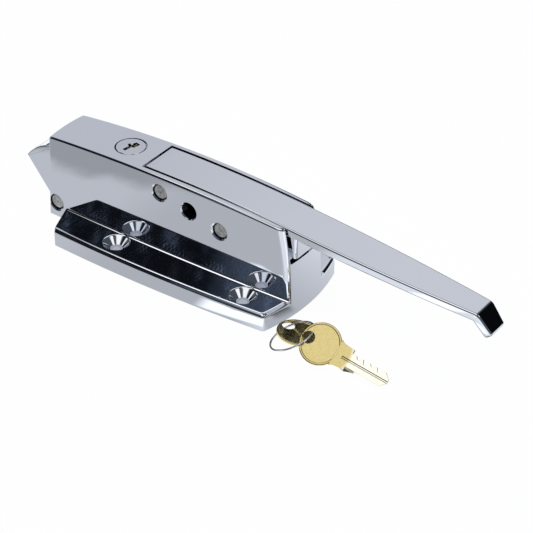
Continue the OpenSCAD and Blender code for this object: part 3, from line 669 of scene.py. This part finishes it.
def nose_ring(inward):
    """First section, on the nose circle round the pivot, drawn in by a small depth."""
    ring = grip_ring(60.0, float(crown(62.5)), 0.0, GRIP_HALF - inward, GRIP_T - inward, GRIP_R, inward)
    ring[:, 0] = PIVOT[0] - np.sqrt((NOSE_R - 0.5 + inward) ** 2 - (ring[:, 2] - PIVOT[1]) ** 2)
    return ring


# %% Skin of the grip
straight = np.concatenate([np.linspace(66, GRIP_START, 40), np.linspace(GRIP_START, BEND_X, 60)[1:]])
falls = np.where(straight < GRIP_START, (straight - 72.0) / 850.0, SLOPE)
rings = [nose_ring(0.5), nose_ring(0.0)]
rings += [grip_ring(x, float(grip_top(x)), a, float(grip_half(x))) for x, a in zip(straight, falls)]
tip_half = float(grip_half(BEND_X))
turn = np.linspace(SLOPE, BEND, 10)[1:]
bend_x = BEND_X + BEND_R * (np.sin(turn) - math.sin(SLOPE))
bend_z = float(grip_top(BEND_X)) - BEND_R * (math.cos(SLOPE) - np.cos(turn))
rings += [grip_ring(x, z, a, tip_half) for x, z, a in zip(bend_x, bend_z, turn)]
for t in np.linspace(0, 1 - TIP_R / BEND_L, 6)[1:]:
    rings.append(grip_ring(bend_x[-1] + t * BEND_L * math.cos(BEND), bend_z[-1] - t * BEND_L * math.sin(BEND),
                           BEND, tip_half - t))
for a in np.radians([18, 36, 54, 72, 88]):
    reach = BEND_L - TIP_R * (1 - math.sin(a))
    less = TIP_R * (1 - math.cos(a))
    rings.append(grip_ring(bend_x[-1] + reach * math.cos(BEND), bend_z[-1] - reach * math.sin(BEND), BEND,
                           tip_half - reach / BEND_L - less, GRIP_T - 2 * less, GRIP_R, less))
handle = skin("handle_casting", np.array(rings))
print("grip", len(handle.data.vertices))

# %% [markdown]
# Under the grip two webs run down into the housing. They carry the pivot, the arm of the link and the slot
# that meets the stop pin, and a root with rounded corners closes them where the grip leaves the housing.

# %% Webs and root
WEB_OUT = 11.05
WEB_IN = 7.45
ARM_L, ARM_HUB_R, ARM_END_R = 20, 8.0, 5.5
ARM_A = math.radians(60.7)
REAR_PIN = (PIVOT[0] - ARM_L * math.cos(ARM_A), PIVOT[1] - ARM_L * math.sin(ARM_A))
STOP_R = math.hypot(PINS["stop"][0] - PIVOT[0], PINS["stop"][1] - PIVOT[1])
STOP_A = math.degrees(math.atan2(PINS["stop"][1] - PIVOT[1], PINS["stop"][0] - PIVOT[0]))
SLOT_R = 5.65
SLOT_END = math.degrees(math.asin(SLOT_R / STOP_R))
PULL = 27.0
ROOT_END = 158.6
ROOT_Z = 34.5
WEB_R = STOP_R + SLOT_R + 3


def arm_outline():
    """The link arm: two round ends with straight flanks."""
    d = math.degrees(math.atan2(REAR_PIN[1] - PIVOT[1], REAR_PIN[0] - PIVOT[0]))
    lean = math.degrees(math.acos((ARM_HUB_R - ARM_END_R) / ARM_L))
    return np.concatenate([arc(REAR_PIN, ARM_END_R, d - lean, d + lean, 20),
                           arc(PIVOT, ARM_HUB_R, d + lean, d + 360 - lean, 36)])


def web_parts(side):
    """One web: the arm, a sector round the slot, and the run to the root."""
    low, high = sorted((side * WEB_IN, side * WEB_OUT))
    tag = "_near" if side < 0 else "_far"
    sector = np.concatenate([[PIVOT], arc(PIVOT, WEB_R, STOP_A - PULL - SLOT_END - 2, 3, 30)])
    x = np.linspace(GRIP_START, PIVOT[0], 12)
    run = np.concatenate([[PIVOT, (PIVOT[0] + WEB_R * math.cos(math.radians(STOP_A - 12)), ROOT_Z - 3),
                           (ROOT_END - 12, ROOT_Z), (ROOT_END - 3, ROOT_Z),
                           (ROOT_END - 3, float(grip_top(ROOT_END)) - 2.5)],
                          np.column_stack([x, crown(x) - 2.5])[:-1]])
    return [plate("arm" + tag, arm_outline(), low, high, "side"),
            plate("sector" + tag, sector, low + 0.001, high - 0.001, "side"),
            plate("run" + tag, run, low + 0.002, high - 0.002, "side")]


def rounded_root(low, high, radius):
    """The closed end under the grip, a block with rounded upright corners."""
    x0, x1 = ROOT_END - 3.6, ROOT_END
    outline = np.concatenate([[[x0, -WEB_OUT]], arc((x1 - radius, radius - WEB_OUT), radius, -90, 0, 8),
                              arc((x1 - radius, WEB_OUT - radius), radius, 0, 90, 8), [[x0, WEB_OUT]]])
    return plate("root", outline, low, high)


# %% Handle in one piece
root = rounded_root(ROOT_Z, float(grip_top(ROOT_END)) - 2.5, 1.8)
joined_with(handle, web_parts(-1) + web_parts(1) + [root])
slot_outline = np.concatenate([arc(PIVOT, STOP_R + SLOT_R, STOP_A - PULL - SLOT_END, STOP_A + SLOT_END, 24),
                               arc(PIVOT, STOP_R - SLOT_R, STOP_A + SLOT_END, STOP_A - PULL - SLOT_END, 24)])
cut_by(handle, [
    plate("stop_slot", slot_outline, -14, 14, "side"),
    across_bar("rear_pin_bore", REAR_PIN, 2.5, 14),
    across_bar("bush_bore", PIVOT, 5.5, WEB_OUT + 0.3),
    across_bar("spring_room", PIVOT, 6.2, WEB_IN),
])
print("handle with webs", len(handle.data.polygons))

# %% Painted shade on the handle
PAINTED_SHADE_FROM, PAINTED_SHADE_TO = 130, 95
FLANK_IN, FLANK_OUT = 10.85, 11.0


def painted_shade_on_flanks(tree, where):
    """Painted shade on the flanks that lie in the slot, more so toward the nose."""
    places = add(tree, "ShaderNodeSeparateXYZ", {0: where}).outputs
    toward_nose = add(tree, "ShaderNodeMapRange",
                      {"Value": places["X"], "From Min": (PAINTED_SHADE_FROM - MIDDLE_X) * MM,
                       "From Max": (PAINTED_SHADE_TO - MIDDLE_X) * MM})
    off_middle = add(tree, "ShaderNodeMath", {0: places["Y"]}, operation="ABSOLUTE")
    flank = add(tree, "ShaderNodeMapRange",
                {"Value": off_middle.outputs[0], "From Min": FLANK_IN * MM, "From Max": FLANK_OUT * MM})
    return add(tree, "ShaderNodeMath", {0: toward_nose.outputs["Result"], 1: flank.outputs["Result"]},
               operation="MULTIPLY").outputs[0]


# The chrome of the handle, with shade painted on its flanks in the slot.
handle_chrome = chrome_with_painted_shade("chrome plate with painted shade on flanks", painted_shade_on_flanks)
finished(handle, "handle", "handle_lever", handle_chrome)

# %% [markdown]
# ## The pawl
# The pawl is a thick sector that swings on a pin. Its nose is an arc round the pin, and a flat lead-in face
# runs from the tip to the hub. Inside it has a fork for the link and a pocket for a spring.

# %% Pawl
PAWL = PINS["pawl"]
PAWL_R, HUB_R, TIP_A, BACK_A = 31.0, 8.0, 142.6, 98.0
PAWL_HALF = 8.4
CRANK_L, CRANK_A = 12, math.radians(8)
CRANK = (PAWL[0] - CRANK_L * math.sin(CRANK_A), PAWL[1] + CRANK_L * math.cos(CRANK_A))
reach = math.degrees(math.acos(HUB_R / PAWL_R))
pawl_outline = np.concatenate([arc(PAWL, PAWL_R, BACK_A, TIP_A, 48),
                               arc(PAWL, HUB_R, TIP_A + reach, BACK_A - reach + 360, 40)])
pawl = plate("pawl_nose", pawl_outline, -PAWL_HALF, PAWL_HALF, "side", edge=0.9)
cut_by(pawl, [
    across_bar("fork", PAWL, 23.6, 2.8),
    across_bar("pawl_bore", PAWL, 4.05, 12),
    across_bar("crank_bore", CRANK, 2.2, 7.8),
    turned("pocket", [(5.8, 4.8), (5.8, 10)], (PAWL[0], 0, PAWL[1]), ACROSS, 64),
])
finished(pawl, "pawl", "pawl", chrome)

# %% [markdown]
# ## Pins
# A pressed pin is a turned bar with a small chamfer at each end. Its end face is what shows in the rimmed
# bores, so it keeps the faint dimple that the lathe leaves in its middle.

# %% Pins
def pin(name, at, radius, half, node, body):
    """A turned pin across the latch: chamfered ends with a faint centre dimple."""
    end = [(0.3, half - 0.5), (0.9, half - 0.12), (radius - 0.6, half), (radius - 0.1, half - 0.15),
           (radius, half - 0.5)]
    profile = [(r, -h) for r, h in end] + end[::-1]
    obj = turned(name, profile, (at[0], 0, at[1]), ACROSS, 64)
    return finished(obj, body, node, pin_steel)


def pin_half(x):
    """Half length of a pin between the bottoms of two rims."""
    return float(half_width(x)) - RIM_DEEP


pin("pivot_pin_turned", PIVOT, PIN_R, pin_half(PIVOT[0]), "handle_pivot_pin", "housing")
pin("stop_pin_turned", PINS["stop"], PIN_R, pin_half(PINS["stop"][0]), "stop_pin", "housing")
pin("pawl_pin_turned", PAWL, PIN_R, pin_half(PAWL[0]), "pawl_pivot_pin", "housing")

# %% [markdown]
# ## The lock
# A cam lock shows a round face with a plug in it. The face stands in a deep narrow groove, which swallows
# the light and reads as a dark line. The keyway is an uneven slot, because wards stand into it from both
# sides.

# %% Barrel of the lock
LOCK_TOP = top - 0.1
LOCK_FOOT = top - 16.1
BARREL_R, FACE_R, PLUG_ROOM = 8.7, 7.95, 6.0
GROOVE_FOOT = LOCK_TOP - 3.5
ring_profile = [(PLUG_ROOM, LOCK_FOOT), (BARREL_R, LOCK_FOOT), (BARREL_R, GROOVE_FOOT), (FACE_R, GROOVE_FOOT),
                (FACE_R, LOCK_TOP - 0.1), (FACE_R - 0.1, LOCK_TOP), (PLUG_ROOM, LOCK_TOP)]
lock_ring = turned("lock_ring", ring_profile, (LOCK_X, 0, 0), UP, 128, joined=True)
clip_z = BOSS_FOOT - 0.1 - 1.0
groove = turned("clip_groove", [(7.75, clip_z), (9.5, clip_z), (9.5, clip_z + 1), (7.75, clip_z + 1)],
                (LOCK_X, 0, 0), UP, 128, joined=True)
cut_by(lock_ring, [groove])
finished(lock_ring, "housing", "lock_cylinder", lock_chrome)

# %% Plug of the lock
plug_profile = [(3.0, LOCK_FOOT - 2.55), (3.0, LOCK_FOOT), (5.98, LOCK_FOOT), (5.98, LOCK_TOP)]
plug = turned("lock_plug_turned", plug_profile, (LOCK_X, 0, 0), UP, 96)
keyway = np.array([[1.0, -4.9], [0.9, -1.6], [0.6, -1.0], [1.1, 0.0], [2.2, 0.5],
                   [2.0, 4.7], [-1.2, 4.9], [-1.5, 2.6], [-0.7, 2.1], [-0.8, 1.2],
                   [-2.8, 1.7], [-3.0, 0.2], [-1.1, -0.6], [-1.1, -4.9]])
tilt = math.radians(-12)
keyway = keyway @ [[math.cos(tilt), math.sin(tilt)], [-math.sin(tilt), math.cos(tilt)]] + [LOCK_X, 0]
wafer_z = [top - 4.1 - 2.2 * i for i in range(4)]
cut_by(plug, [plate("keyway", keyway, wafer_z[3] - 2, LOCK_TOP + 2)]
       + [box("wafer_slot", (LOCK_X - 2.3, -13, z), (LOCK_X + 2.3, 13, z + 1)) for z in wafer_z])
finished(plug, "lock", "lock_plug", lock_chrome)

# %% [markdown]
# ## The keys
# Each key is stamped from brass plate: a round bow with a raised rim and a bare field, a neck with square
# shoulders, and a blade with a milled groove and four bitting notches. It is drawn flat, then laid in place.

# %% Laying a key
def laid(at, turn):
    """A function that turns flat points about x, then y, then z, and moves them to their place."""
    rx, ry, rz = np.radians(turn)
    about_x = np.array([[1, 0, 0], [0, np.cos(rx), -np.sin(rx)], [0, np.sin(rx), np.cos(rx)]])
    about_y = np.array([[np.cos(ry), 0, np.sin(ry)], [0, 1, 0], [-np.sin(ry), 0, np.cos(ry)]])
    about_z = np.array([[np.cos(rz), -np.sin(rz), 0], [np.sin(rz), np.cos(rz), 0], [0, 0, 1]])
    matrix = about_z @ about_y @ about_x
    return lambda points: points @ matrix.T + np.array(at)


# %% [markdown]
# The bow keeps the soft skin of the press. Past the shoulder the blade gets a painted highlight: its colour
# turns near white, where strong light washes the brass out.

# %% Brass of a key
HIGHLIGHT_FROM, HIGHLIGHT_TO = 16.2, 18.2


def key_metal(name, at):
    """Stamped brass with a painted highlight past the shoulder, near white, by the distance from the bow."""
    material = brass.copy()
    material.name = name
    tree = material.node_tree
    shader = tree.nodes["Principled BSDF"]
    stamped = shader.inputs["Base Color"].links[0].from_socket
    where = add(tree, "ShaderNodeTexCoord").outputs["Object"]
    centre = (np.array(at) - [MIDDLE_X, 0, 0]) * MM
    away = add(tree, "ShaderNodeVectorMath", {0: where, 1: centre.tolist()}, operation="DISTANCE")
    share = add(tree, "ShaderNodeMapRange",
                {"Value": away.outputs["Value"], "From Min": HIGHLIGHT_FROM * MM, "From Max": HIGHLIGHT_TO * MM})
    # The painted highlight: past the shoulder the colour turns near white.
    painted_highlight = add(tree, "ShaderNodeMix", {"Factor": share.outputs["Result"], 6: stamped, 7: linear("#FFFAE8")},
                 data_type="RGBA")
    tree.links.new(painted_highlight.outputs[2], shader.inputs["Base Color"])
    return material


# %% One key
KEY_T = 1.5
BOW_R = 11.0
HOLE_R = 3.3
HOLE_BACK = 7.0
SUNK = 0.3
BLADE_HALF = 3.7
NOTCHES = ((33, 2.0), (29, 1.2), (25, 2.4), (21, 1.6))


def key(name, at, turn, node):
    """A stamped key: a rimmed disc, a neck and a notched blade joined, then the hole and the grooves cut."""
    place = laid(at, turn)
    h = KEY_T / 2
    rim = [(9.6, h - SUNK), (9.85, h - 0.06), (10.1, h), (10.6, h), (10.9, h - 0.12), (BOW_R, h - 0.35)]
    profile = [(r, -z) for r, z in rim] + rim[::-1]
    bow = turned(name, profile, (0, 0, 0), UP, 128, place=place)
    neck_half = [[9.0, -7.2], [10.4, -6.2], [15, -5.7], [17, -5.7]]
    neck_outline = neck_half + [[x, -y] for x, y in reversed(neck_half)]
    neck = plate("neck", neck_outline, -h + 0.01, h - 0.01, edge=0.15, place=place)
    top_edge = [[36.5, BLADE_HALF]]
    for x, deep in NOTCHES:
        floor = BLADE_HALF - deep
        top_edge += [[x + 1.6, BLADE_HALF], [x + 0.6, floor], [x - 0.6, floor], [x - 1.6, BLADE_HALF]]
    low_edge = [[12, -BLADE_HALF], [36.5, -BLADE_HALF], [39.5, -1], [39.5, 1]]
    blade = plate("blade", low_edge + top_edge + [[12, BLADE_HALF]],
                  -h + 0.02, h - 0.02, edge=0.12, place=place)
    joined_with(bow, [neck, blade])
    hole = turned("hole", [(HOLE_R + 0.25, -h), (HOLE_R, -h + 0.5), (HOLE_R, h - 0.5), (HOLE_R + 0.25, h)],
                  (-HOLE_BACK, 0, 0), UP, 64, place=place)
    grooves = [turned("groove", [(1.2, 13.0), (1.2, 45.0)], (0, -0.3, z), (1.0, 0.0, 0.0), 48, place=place)
               for z in (h + 0.75, -h - 0.75)]
    cut_by(bow, [hole] + grooves)
    return finished(bow, "keys", node, key_metal(name + " brass", at))


# %% Two keys
FRONT_AT, FRONT_TURN = (190.5, -35.6, 10.6), (40, 10.4, 2)
REAR_AT, REAR_TURN = (171.4, -27.5, 4.2), (-8, 4.65, -12)
key("front_key", FRONT_AT, FRONT_TURN, "key_front")
key("rear_key", REAR_AT, REAR_TURN, "key_rear")

# %% [markdown]
# ## The key ring
# A split ring is nearly two turns of flattened wire that lie on each other. A flat oval is carried along a
# helix with a small rise, so the turns are pressed into each other.

# %% Place of the key ring
RING_D = 24.0
RING_LEAN = math.radians(18)
front_hole = laid(FRONT_AT, FRONT_TURN)(np.array([-HOLE_BACK, 0, 0]))
rear_hole = laid(REAR_AT, REAR_TURN)(np.array([-HOLE_BACK, 0, 0]))
chord = front_hole - rear_hole
span = np.linalg.norm(chord)
chord /= span
level = np.cross(chord, [0, 0, 1])
level /= np.linalg.norm(level)
ring_way = math.cos(RING_LEAN) * level + math.sin(RING_LEAN) * np.cross(chord, level)
ring_at = (front_hole + rear_hole) / 2 + math.sqrt(RING_D ** 2 - span ** 2) / 2 * ring_way
ring_axis = np.cross(chord, ring_way)
print("key ring from hole to hole", round(float(span), 1), "mm")

# %% Coil of the key ring
WIRE_OUT, WIRE_UP, COIL_RISE = 0.55, 0.28, 0.29
t = np.linspace(0.3, 0.3 + 3.9 * np.pi, 240)[:, None, None]
s = np.linspace(0, 2 * np.pi, 14, endpoint=False)[None, :, None]
out = np.cos(t) * ring_way + np.sin(t) * chord
rise = COIL_RISE * (t - t.mean()) / (t.max() - t.mean())
coil = ring_at + out * (RING_D / 2 + WIRE_OUT * np.cos(s)) + ring_axis * (rise + WIRE_UP * np.sin(s))
ring = skin("split_ring", coil)
finished(ring, "keys", "key_ring", ring_wire)

# %% [markdown]
# ## Pieces that stay as they are
# What works out of sight is right as it was packed, so these solids stay and only get their finish.

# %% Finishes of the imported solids
KEPT = {
    "handle_bushes": bronze, "handle_spring": spring_wire, "stop_sleeve": nylon, "pull_link": zinc_plate,
    "link_rear_pin": pin_steel, "link_spacers": zinc_plate, "link_front_pin": pin_steel,
    "pawl_washers": zinc_plate, "pawl_spring": spring_wire, "lock_clip": spring_wire, "lock_wafers": brass,
    "lock_cam": zinc_plate, "lock_cam_screw": zinc_plate,
}
for name, material in KEPT.items():
    nodes[name].data.materials.clear()
    nodes[name].data.materials.append(material)
print("kept solids", len(KEPT))

# %% [markdown]
# ## The studio
# A mirror needs a room. Real lamps and boards could stand round the latch, but a room that is worked out
# from the direction alone has no objects that other views would show. It is a plain grey with soft patches
# in it.

# %% Room
world = bpy.data.worlds.new("studio room")
scene.world = world
world.use_nodes = True
room = world.node_tree
room.nodes.clear()
looking = add(room, "ShaderNodeTexCoord").outputs["Generated"]


def lit_patch(colour_below, way, inner, outer, colour):
    """A patch of the room round a direction, with a soft border between two angles."""
    unit = Vector(way).normalized()
    near = add(room, "ShaderNodeVectorMath", {0: looking, 1: unit}, operation="DOT_PRODUCT")
    share = add(room, "ShaderNodeMapRange",
                {"Value": near.outputs["Value"], "From Min": math.cos(math.radians(outer)),
                 "From Max": math.cos(math.radians(inner))}, interpolation_type="SMOOTHSTEP")
    return add(room, "ShaderNodeMix", {"Factor": share.outputs["Result"], 6: colour_below, 7: colour},
               data_type="RGBA").outputs[2]


print("room ready for its patches")

# %% [markdown]
# Dark screens come first. One stands far to the right and blackens the tip of the handle. A band stands at
# the near left, and the near flange shows it by way of the side above it.

# %% Dark screens
grey, dark = linear("#565A61"), linear("#0A0B0D")
far_right = lit_patch(grey, (0.52, 0.73, 0.43), 17, 26, dark)
way = add(room, "ShaderNodeSeparateXYZ", {0: looking})
aside = add(room, "ShaderNodeMath", {0: way.outputs["X"], 1: 0.48}, operation="ADD")
off_screen = add(room, "ShaderNodeMath", {0: aside.outputs[0]}, operation="ABSOLUTE")
screen_x = add(room, "ShaderNodeMapRange",
               {"Value": off_screen.outputs[0], "From Min": 0.32, "From Max": 0.2})
screen_y = add(room, "ShaderNodeMapRange", {"Value": way.outputs["Y"], "From Min": 0.0, "From Max": -0.12})
screen = add(room, "ShaderNodeMath", {0: screen_x.outputs["Result"], 1: screen_y.outputs["Result"]},
             operation="MULTIPLY")
near_left = add(room, "ShaderNodeMix", {"Factor": screen.outputs[0], 6: far_right, 7: dark},
                data_type="RGBA").outputs[2]
print("dark screens set")

# %% [markdown]
# In the middle of that band is a piece of wall. It is dark and mottled, with smudges that get lighter to the
# right, so that the black on the flange isn't dead.

# %% Wall at the near left
smudges = add(room, "ShaderNodeTexNoise",
              {"Vector": looking, "Scale": 95.0, "Detail": 3.0, "Roughness": 0.55})
smudge_tone = add(room, "ShaderNodeMapRange",
                  {"Value": smudges.outputs["Fac"], "From Min": 0.56, "From Max": 0.72})
speckle = add(room, "ShaderNodeTexNoise",
              {"Vector": looking, "Scale": 420.0, "Detail": 4.0, "Roughness": 0.65})
speckle_tone = add(room, "ShaderNodeMapRange",
                   {"Value": speckle.outputs["Fac"], "From Min": 0.42, "From Max": 0.6,
                    "To Min": 0.15, "To Max": 1.0})
lighter = add(room, "ShaderNodeMapRange",
              {"Value": way.outputs["X"], "From Min": -0.488, "From Max": -0.462, "To Max": 0.5})
smudged = add(room, "ShaderNodeMath", {0: smudge_tone.outputs["Result"], 1: lighter.outputs["Result"]},
              operation="ADD")
mottled = add(room, "ShaderNodeMath", {0: smudged.outputs[0], 1: speckle_tone.outputs["Result"]},
              operation="MULTIPLY")
wall = add(room, "ShaderNodeMix", {"Factor": mottled.outputs[0], 6: linear("#101216"), 7: linear("#7C8BA2")},
           data_type="RGBA").outputs[2]
near_wall = lit_patch(near_left, (-0.478, -0.667, 0.571), 16, 22, wall)
print("wall set")

# %% [markdown]
# A pale tent stands behind the latch and fills its front face with an even grey. Soft lamps hang over the
# near side, the left and the right, a strip draws the white lines along the edges, and a small dark screen
# in the tent blackens the key that lies flat.

# %% Tent and lamps
sheet = add(room, "ShaderNodeTexNoise", {"Vector": looking, "Scale": 3.0, "Detail": 1.0})
sheet_share = add(room, "ShaderNodeMapRange",
                  {"Value": way.outputs["X"], "From Min": -0.58, "From Max": -0.28})
sheet_mix = add(room, "ShaderNodeMath", {0: sheet.outputs["Fac"], 1: 0.2, 2: sheet_share.outputs["Result"]},
                operation="MULTIPLY_ADD")
sheet_tone = add(room, "ShaderNodeMix",
                 {"Factor": sheet_mix.outputs[0], 6: (0.57, 0.585, 0.637, 1), 7: (0.70, 0.71, 0.75, 1)},
                 data_type="RGBA").outputs[2]
tent = lit_patch(near_wall, (-0.50, 0.62, 0.60), 27, 37, sheet_tone)
lamp = lit_patch(tent, (-0.05, -0.42, 0.90), 17, 25, (1.15, 1.15, 1.13, 1))
strip = lit_patch(lamp, (-0.46, 0.03, 0.89), 4.5, 9, (1.7, 1.7, 1.7, 1))
key_screen = lit_patch(strip, (-0.325, 0.806, 0.494), 6, 9, dark)
right_lamp = lit_patch(key_screen, (0.66, 0.0, 0.75), 9, 14, (1.2, 1.2, 1.2, 1))
all_lit = lit_patch(right_lamp, (-0.83, -0.30, 0.47), 6, 10, (1.0, 1.0, 1.05, 1))
seen = add(room, "ShaderNodeLightPath").outputs["Is Camera Ray"]
lit = add(room, "ShaderNodeBackground", {"Color": all_lit, "Strength": 1.0})
plain = add(room, "ShaderNodeBackground", {"Color": (1, 1, 1, 1), "Strength": 1.0})
both = add(room, "ShaderNodeMixShader", {0: seen, 1: lit.outputs[0], 2: plain.outputs[0]})
add(room, "ShaderNodeOutputWorld", {"Surface": both.outputs[0]})
print("room with screens, a wall, a tent and lamps")

# %% [markdown]
# ## The table
# The table is white to the camera, with a trace of shadow. To the chrome it is a lit surface: brightest
# beside the keys, where the lamp falls, and duller toward the front left. So its tone is worked out from the
# place.

# %% Table
TABLE = 3.0
TABLE_Z = -0.0002
table = bpy.data.objects.new("table", bpy.data.meshes.new("table"))
corners = [(-TABLE, -TABLE), (TABLE, -TABLE), (TABLE, TABLE), (-TABLE, TABLE)]
table.data.from_pydata([(x, y, TABLE_Z) for x, y in corners], [], [(0, 1, 2, 3)])
scene.collection.objects.link(table)
white_board = bpy.data.materials.new("white table board")
white_board.use_nodes = True
board = white_board.node_tree
board.nodes.clear()
spot = add(board, "ShaderNodeTexCoord").outputs["Object"]
parts = add(board, "ShaderNodeSeparateXYZ", {0: spot})
patchy = add(board, "ShaderNodeTexNoise", {"Vector": spot, "Scale": 22.0, "Detail": 3.0})
wavy_y = add(board, "ShaderNodeMath", {0: patchy.outputs["Fac"], 1: 0.035, 2: parts.outputs["Y"]},
             operation="MULTIPLY_ADD")
cloud_line = add(board, "ShaderNodeMath", {0: parts.outputs["X"], 1: 0.28, 2: wavy_y.outputs[0]},
                 operation="MULTIPLY_ADD")
left = add(board, "ShaderNodeMapRange",
           {"Value": cloud_line.outputs[0], "From Min": -0.083, "From Max": -0.068,
            "To Min": 0.39, "To Max": 0.62},
           interpolation_type="SMOOTHSTEP")
rightward = add(board, "ShaderNodeMapRange",
                {"Value": parts.outputs["X"], "From Min": -0.085, "From Max": -0.04},
                interpolation_type="SMOOTHSTEP")
front_tone = add(board, "ShaderNodeMix",
                 {"Factor": rightward.outputs["Result"], 2: left.outputs["Result"], 3: 0.53})
backward = add(board, "ShaderNodeMapRange",
               {"Value": parts.outputs["Y"], "From Min": -0.01, "From Max": 0.14})
plain_tone = add(board, "ShaderNodeMix",
                 {"Factor": backward.outputs["Result"], 2: front_tone.outputs[0], 3: 1.15})
print("plain tone of the table set")

# %% [markdown]
# Near the latch the light on the table isn't even. Its right front is lighter, a bright strip lies along the
# near flange, another runs out past the keys, and the grip keeps the light from a band under it.

# %% Light and shade near the latch
front_x = add(board, "ShaderNodeMapRange", {"Value": parts.outputs["X"], "From Min": 0.038, "From Max": 0.062,
                                            "To Max": 0.38}, interpolation_type="SMOOTHSTEP")
front_y = add(board, "ShaderNodeMapRange",
              {"Value": parts.outputs["Y"], "From Min": -0.028, "From Max": -0.036})
front_part = add(board, "ShaderNodeMath", {0: front_x.outputs["Result"], 1: front_y.outputs["Result"]},
                 operation="MULTIPLY")
strip_x = add(board, "ShaderNodeMapRange", {"Value": parts.outputs["X"], "From Min": 0.015, "From Max": 0.025,
                                            "To Max": 0.78}, interpolation_type="SMOOTHSTEP")
strip_near = add(board, "ShaderNodeMapRange",
                 {"Value": wavy_y.outputs[0], "From Min": -0.0295, "From Max": -0.0265})
strip_far = add(board, "ShaderNodeMapRange",
                {"Value": parts.outputs["Y"], "From Min": -0.0355, "From Max": -0.037})
strip_y = add(board, "ShaderNodeMath", {0: strip_near.outputs["Result"], 1: strip_far.outputs["Result"]},
              operation="MULTIPLY")
strip_part = add(board, "ShaderNodeMath", {0: strip_x.outputs["Result"], 1: strip_y.outputs[0]},
                 operation="MULTIPLY")
slanted = add(board, "ShaderNodeMath", {0: parts.outputs["X"], 1: 0.73, 2: parts.outputs["Y"]},
              operation="MULTIPLY_ADD")
off_line = add(board, "ShaderNodeMath", {0: slanted.outputs[0], 1: 0.0315}, operation="SUBTRACT")
from_line = add(board, "ShaderNodeMath", {0: off_line.outputs[0]}, operation="ABSOLUTE")
line_tone = add(board, "ShaderNodeMapRange",
                {"Value": from_line.outputs[0], "From Min": 0.02, "From Max": 0.008, "To Max": 0.9},
                interpolation_type="SMOOTHSTEP")
line_x = add(board, "ShaderNodeMapRange", {"Value": parts.outputs["X"], "From Min": 0.074, "From Max": 0.086})
line_part = add(board, "ShaderNodeMath", {0: line_tone.outputs["Result"], 1: line_x.outputs["Result"]},
                operation="MULTIPLY")
strips = add(board, "ShaderNodeMath",
             {0: strip_part.outputs[0], 1: line_part.outputs[0]}, operation="MAXIMUM")
lights = add(board, "ShaderNodeMath", {0: strips.outputs[0], 1: front_part.outputs[0]}, operation="MAXIMUM")
lit_tone = add(board, "ShaderNodeMath", {0: plain_tone.outputs[0], 1: lights.outputs[0]}, operation="ADD")
band_off = add(board, "ShaderNodeMath", {0: parts.outputs["Y"], 1: 0.015}, operation="ADD")
band_far = add(board, "ShaderNodeMath", {0: band_off.outputs[0]}, operation="ABSOLUTE")
band_y = add(board, "ShaderNodeMapRange", {"Value": band_far.outputs[0], "From Min": 0.009, "From Max": 0.005,
                                           "To Max": 0.88})
band_x = add(board, "ShaderNodeMapRange", {"Value": parts.outputs["X"], "From Min": 0.066, "From Max": 0.074})
band = add(board, "ShaderNodeMath", {0: band_y.outputs["Result"], 1: band_x.outputs["Result"]},
           operation="MULTIPLY")
shaded = add(board, "ShaderNodeMath", {0: 1.0, 1: band.outputs[0]}, operation="SUBTRACT")
bright = add(board, "ShaderNodeMath", {0: lit_tone.outputs[0], 1: shaded.outputs[0]}, operation="MULTIPLY")
tone = add(board, "ShaderNodeVectorMath",
           {0: (0.97, 1.0, 1.06), "Scale": bright.outputs[0]}, operation="SCALE")
print("light and shade set")

# %% [markdown]
# The board is matt. The camera sees it as white with an eighth of its shadow, mirrors see the tones above,
# and for all other light it is a plain pale surface.

# %% Board of the table
rays = add(board, "ShaderNodeLightPath")
shown = add(board, "ShaderNodeEmission", {"Color": tone.outputs["Vector"], "Strength": 1.0})
white = add(board, "ShaderNodeEmission", {"Color": (1, 1, 1, 1), "Strength": 1.09})
matt = add(board, "ShaderNodeBsdfDiffuse", {"Color": linear("#E6E6E6")})
some_shadow = add(board, "ShaderNodeMixShader", {0: 0.12, 1: white.outputs[0], 2: matt.outputs[0]})
to_metal = add(board, "ShaderNodeMixShader",
               {0: rays.outputs["Is Glossy Ray"], 1: matt.outputs[0], 2: shown.outputs[0]})
to_all = add(board, "ShaderNodeMixShader", {0: rays.outputs["Is Camera Ray"], 1: to_metal.outputs[0],
                                            2: some_shadow.outputs[0]})
add(board, "ShaderNodeOutputMaterial", {"Surface": to_all.outputs[0]})
table.data.materials.append(white_board)
print("table set")
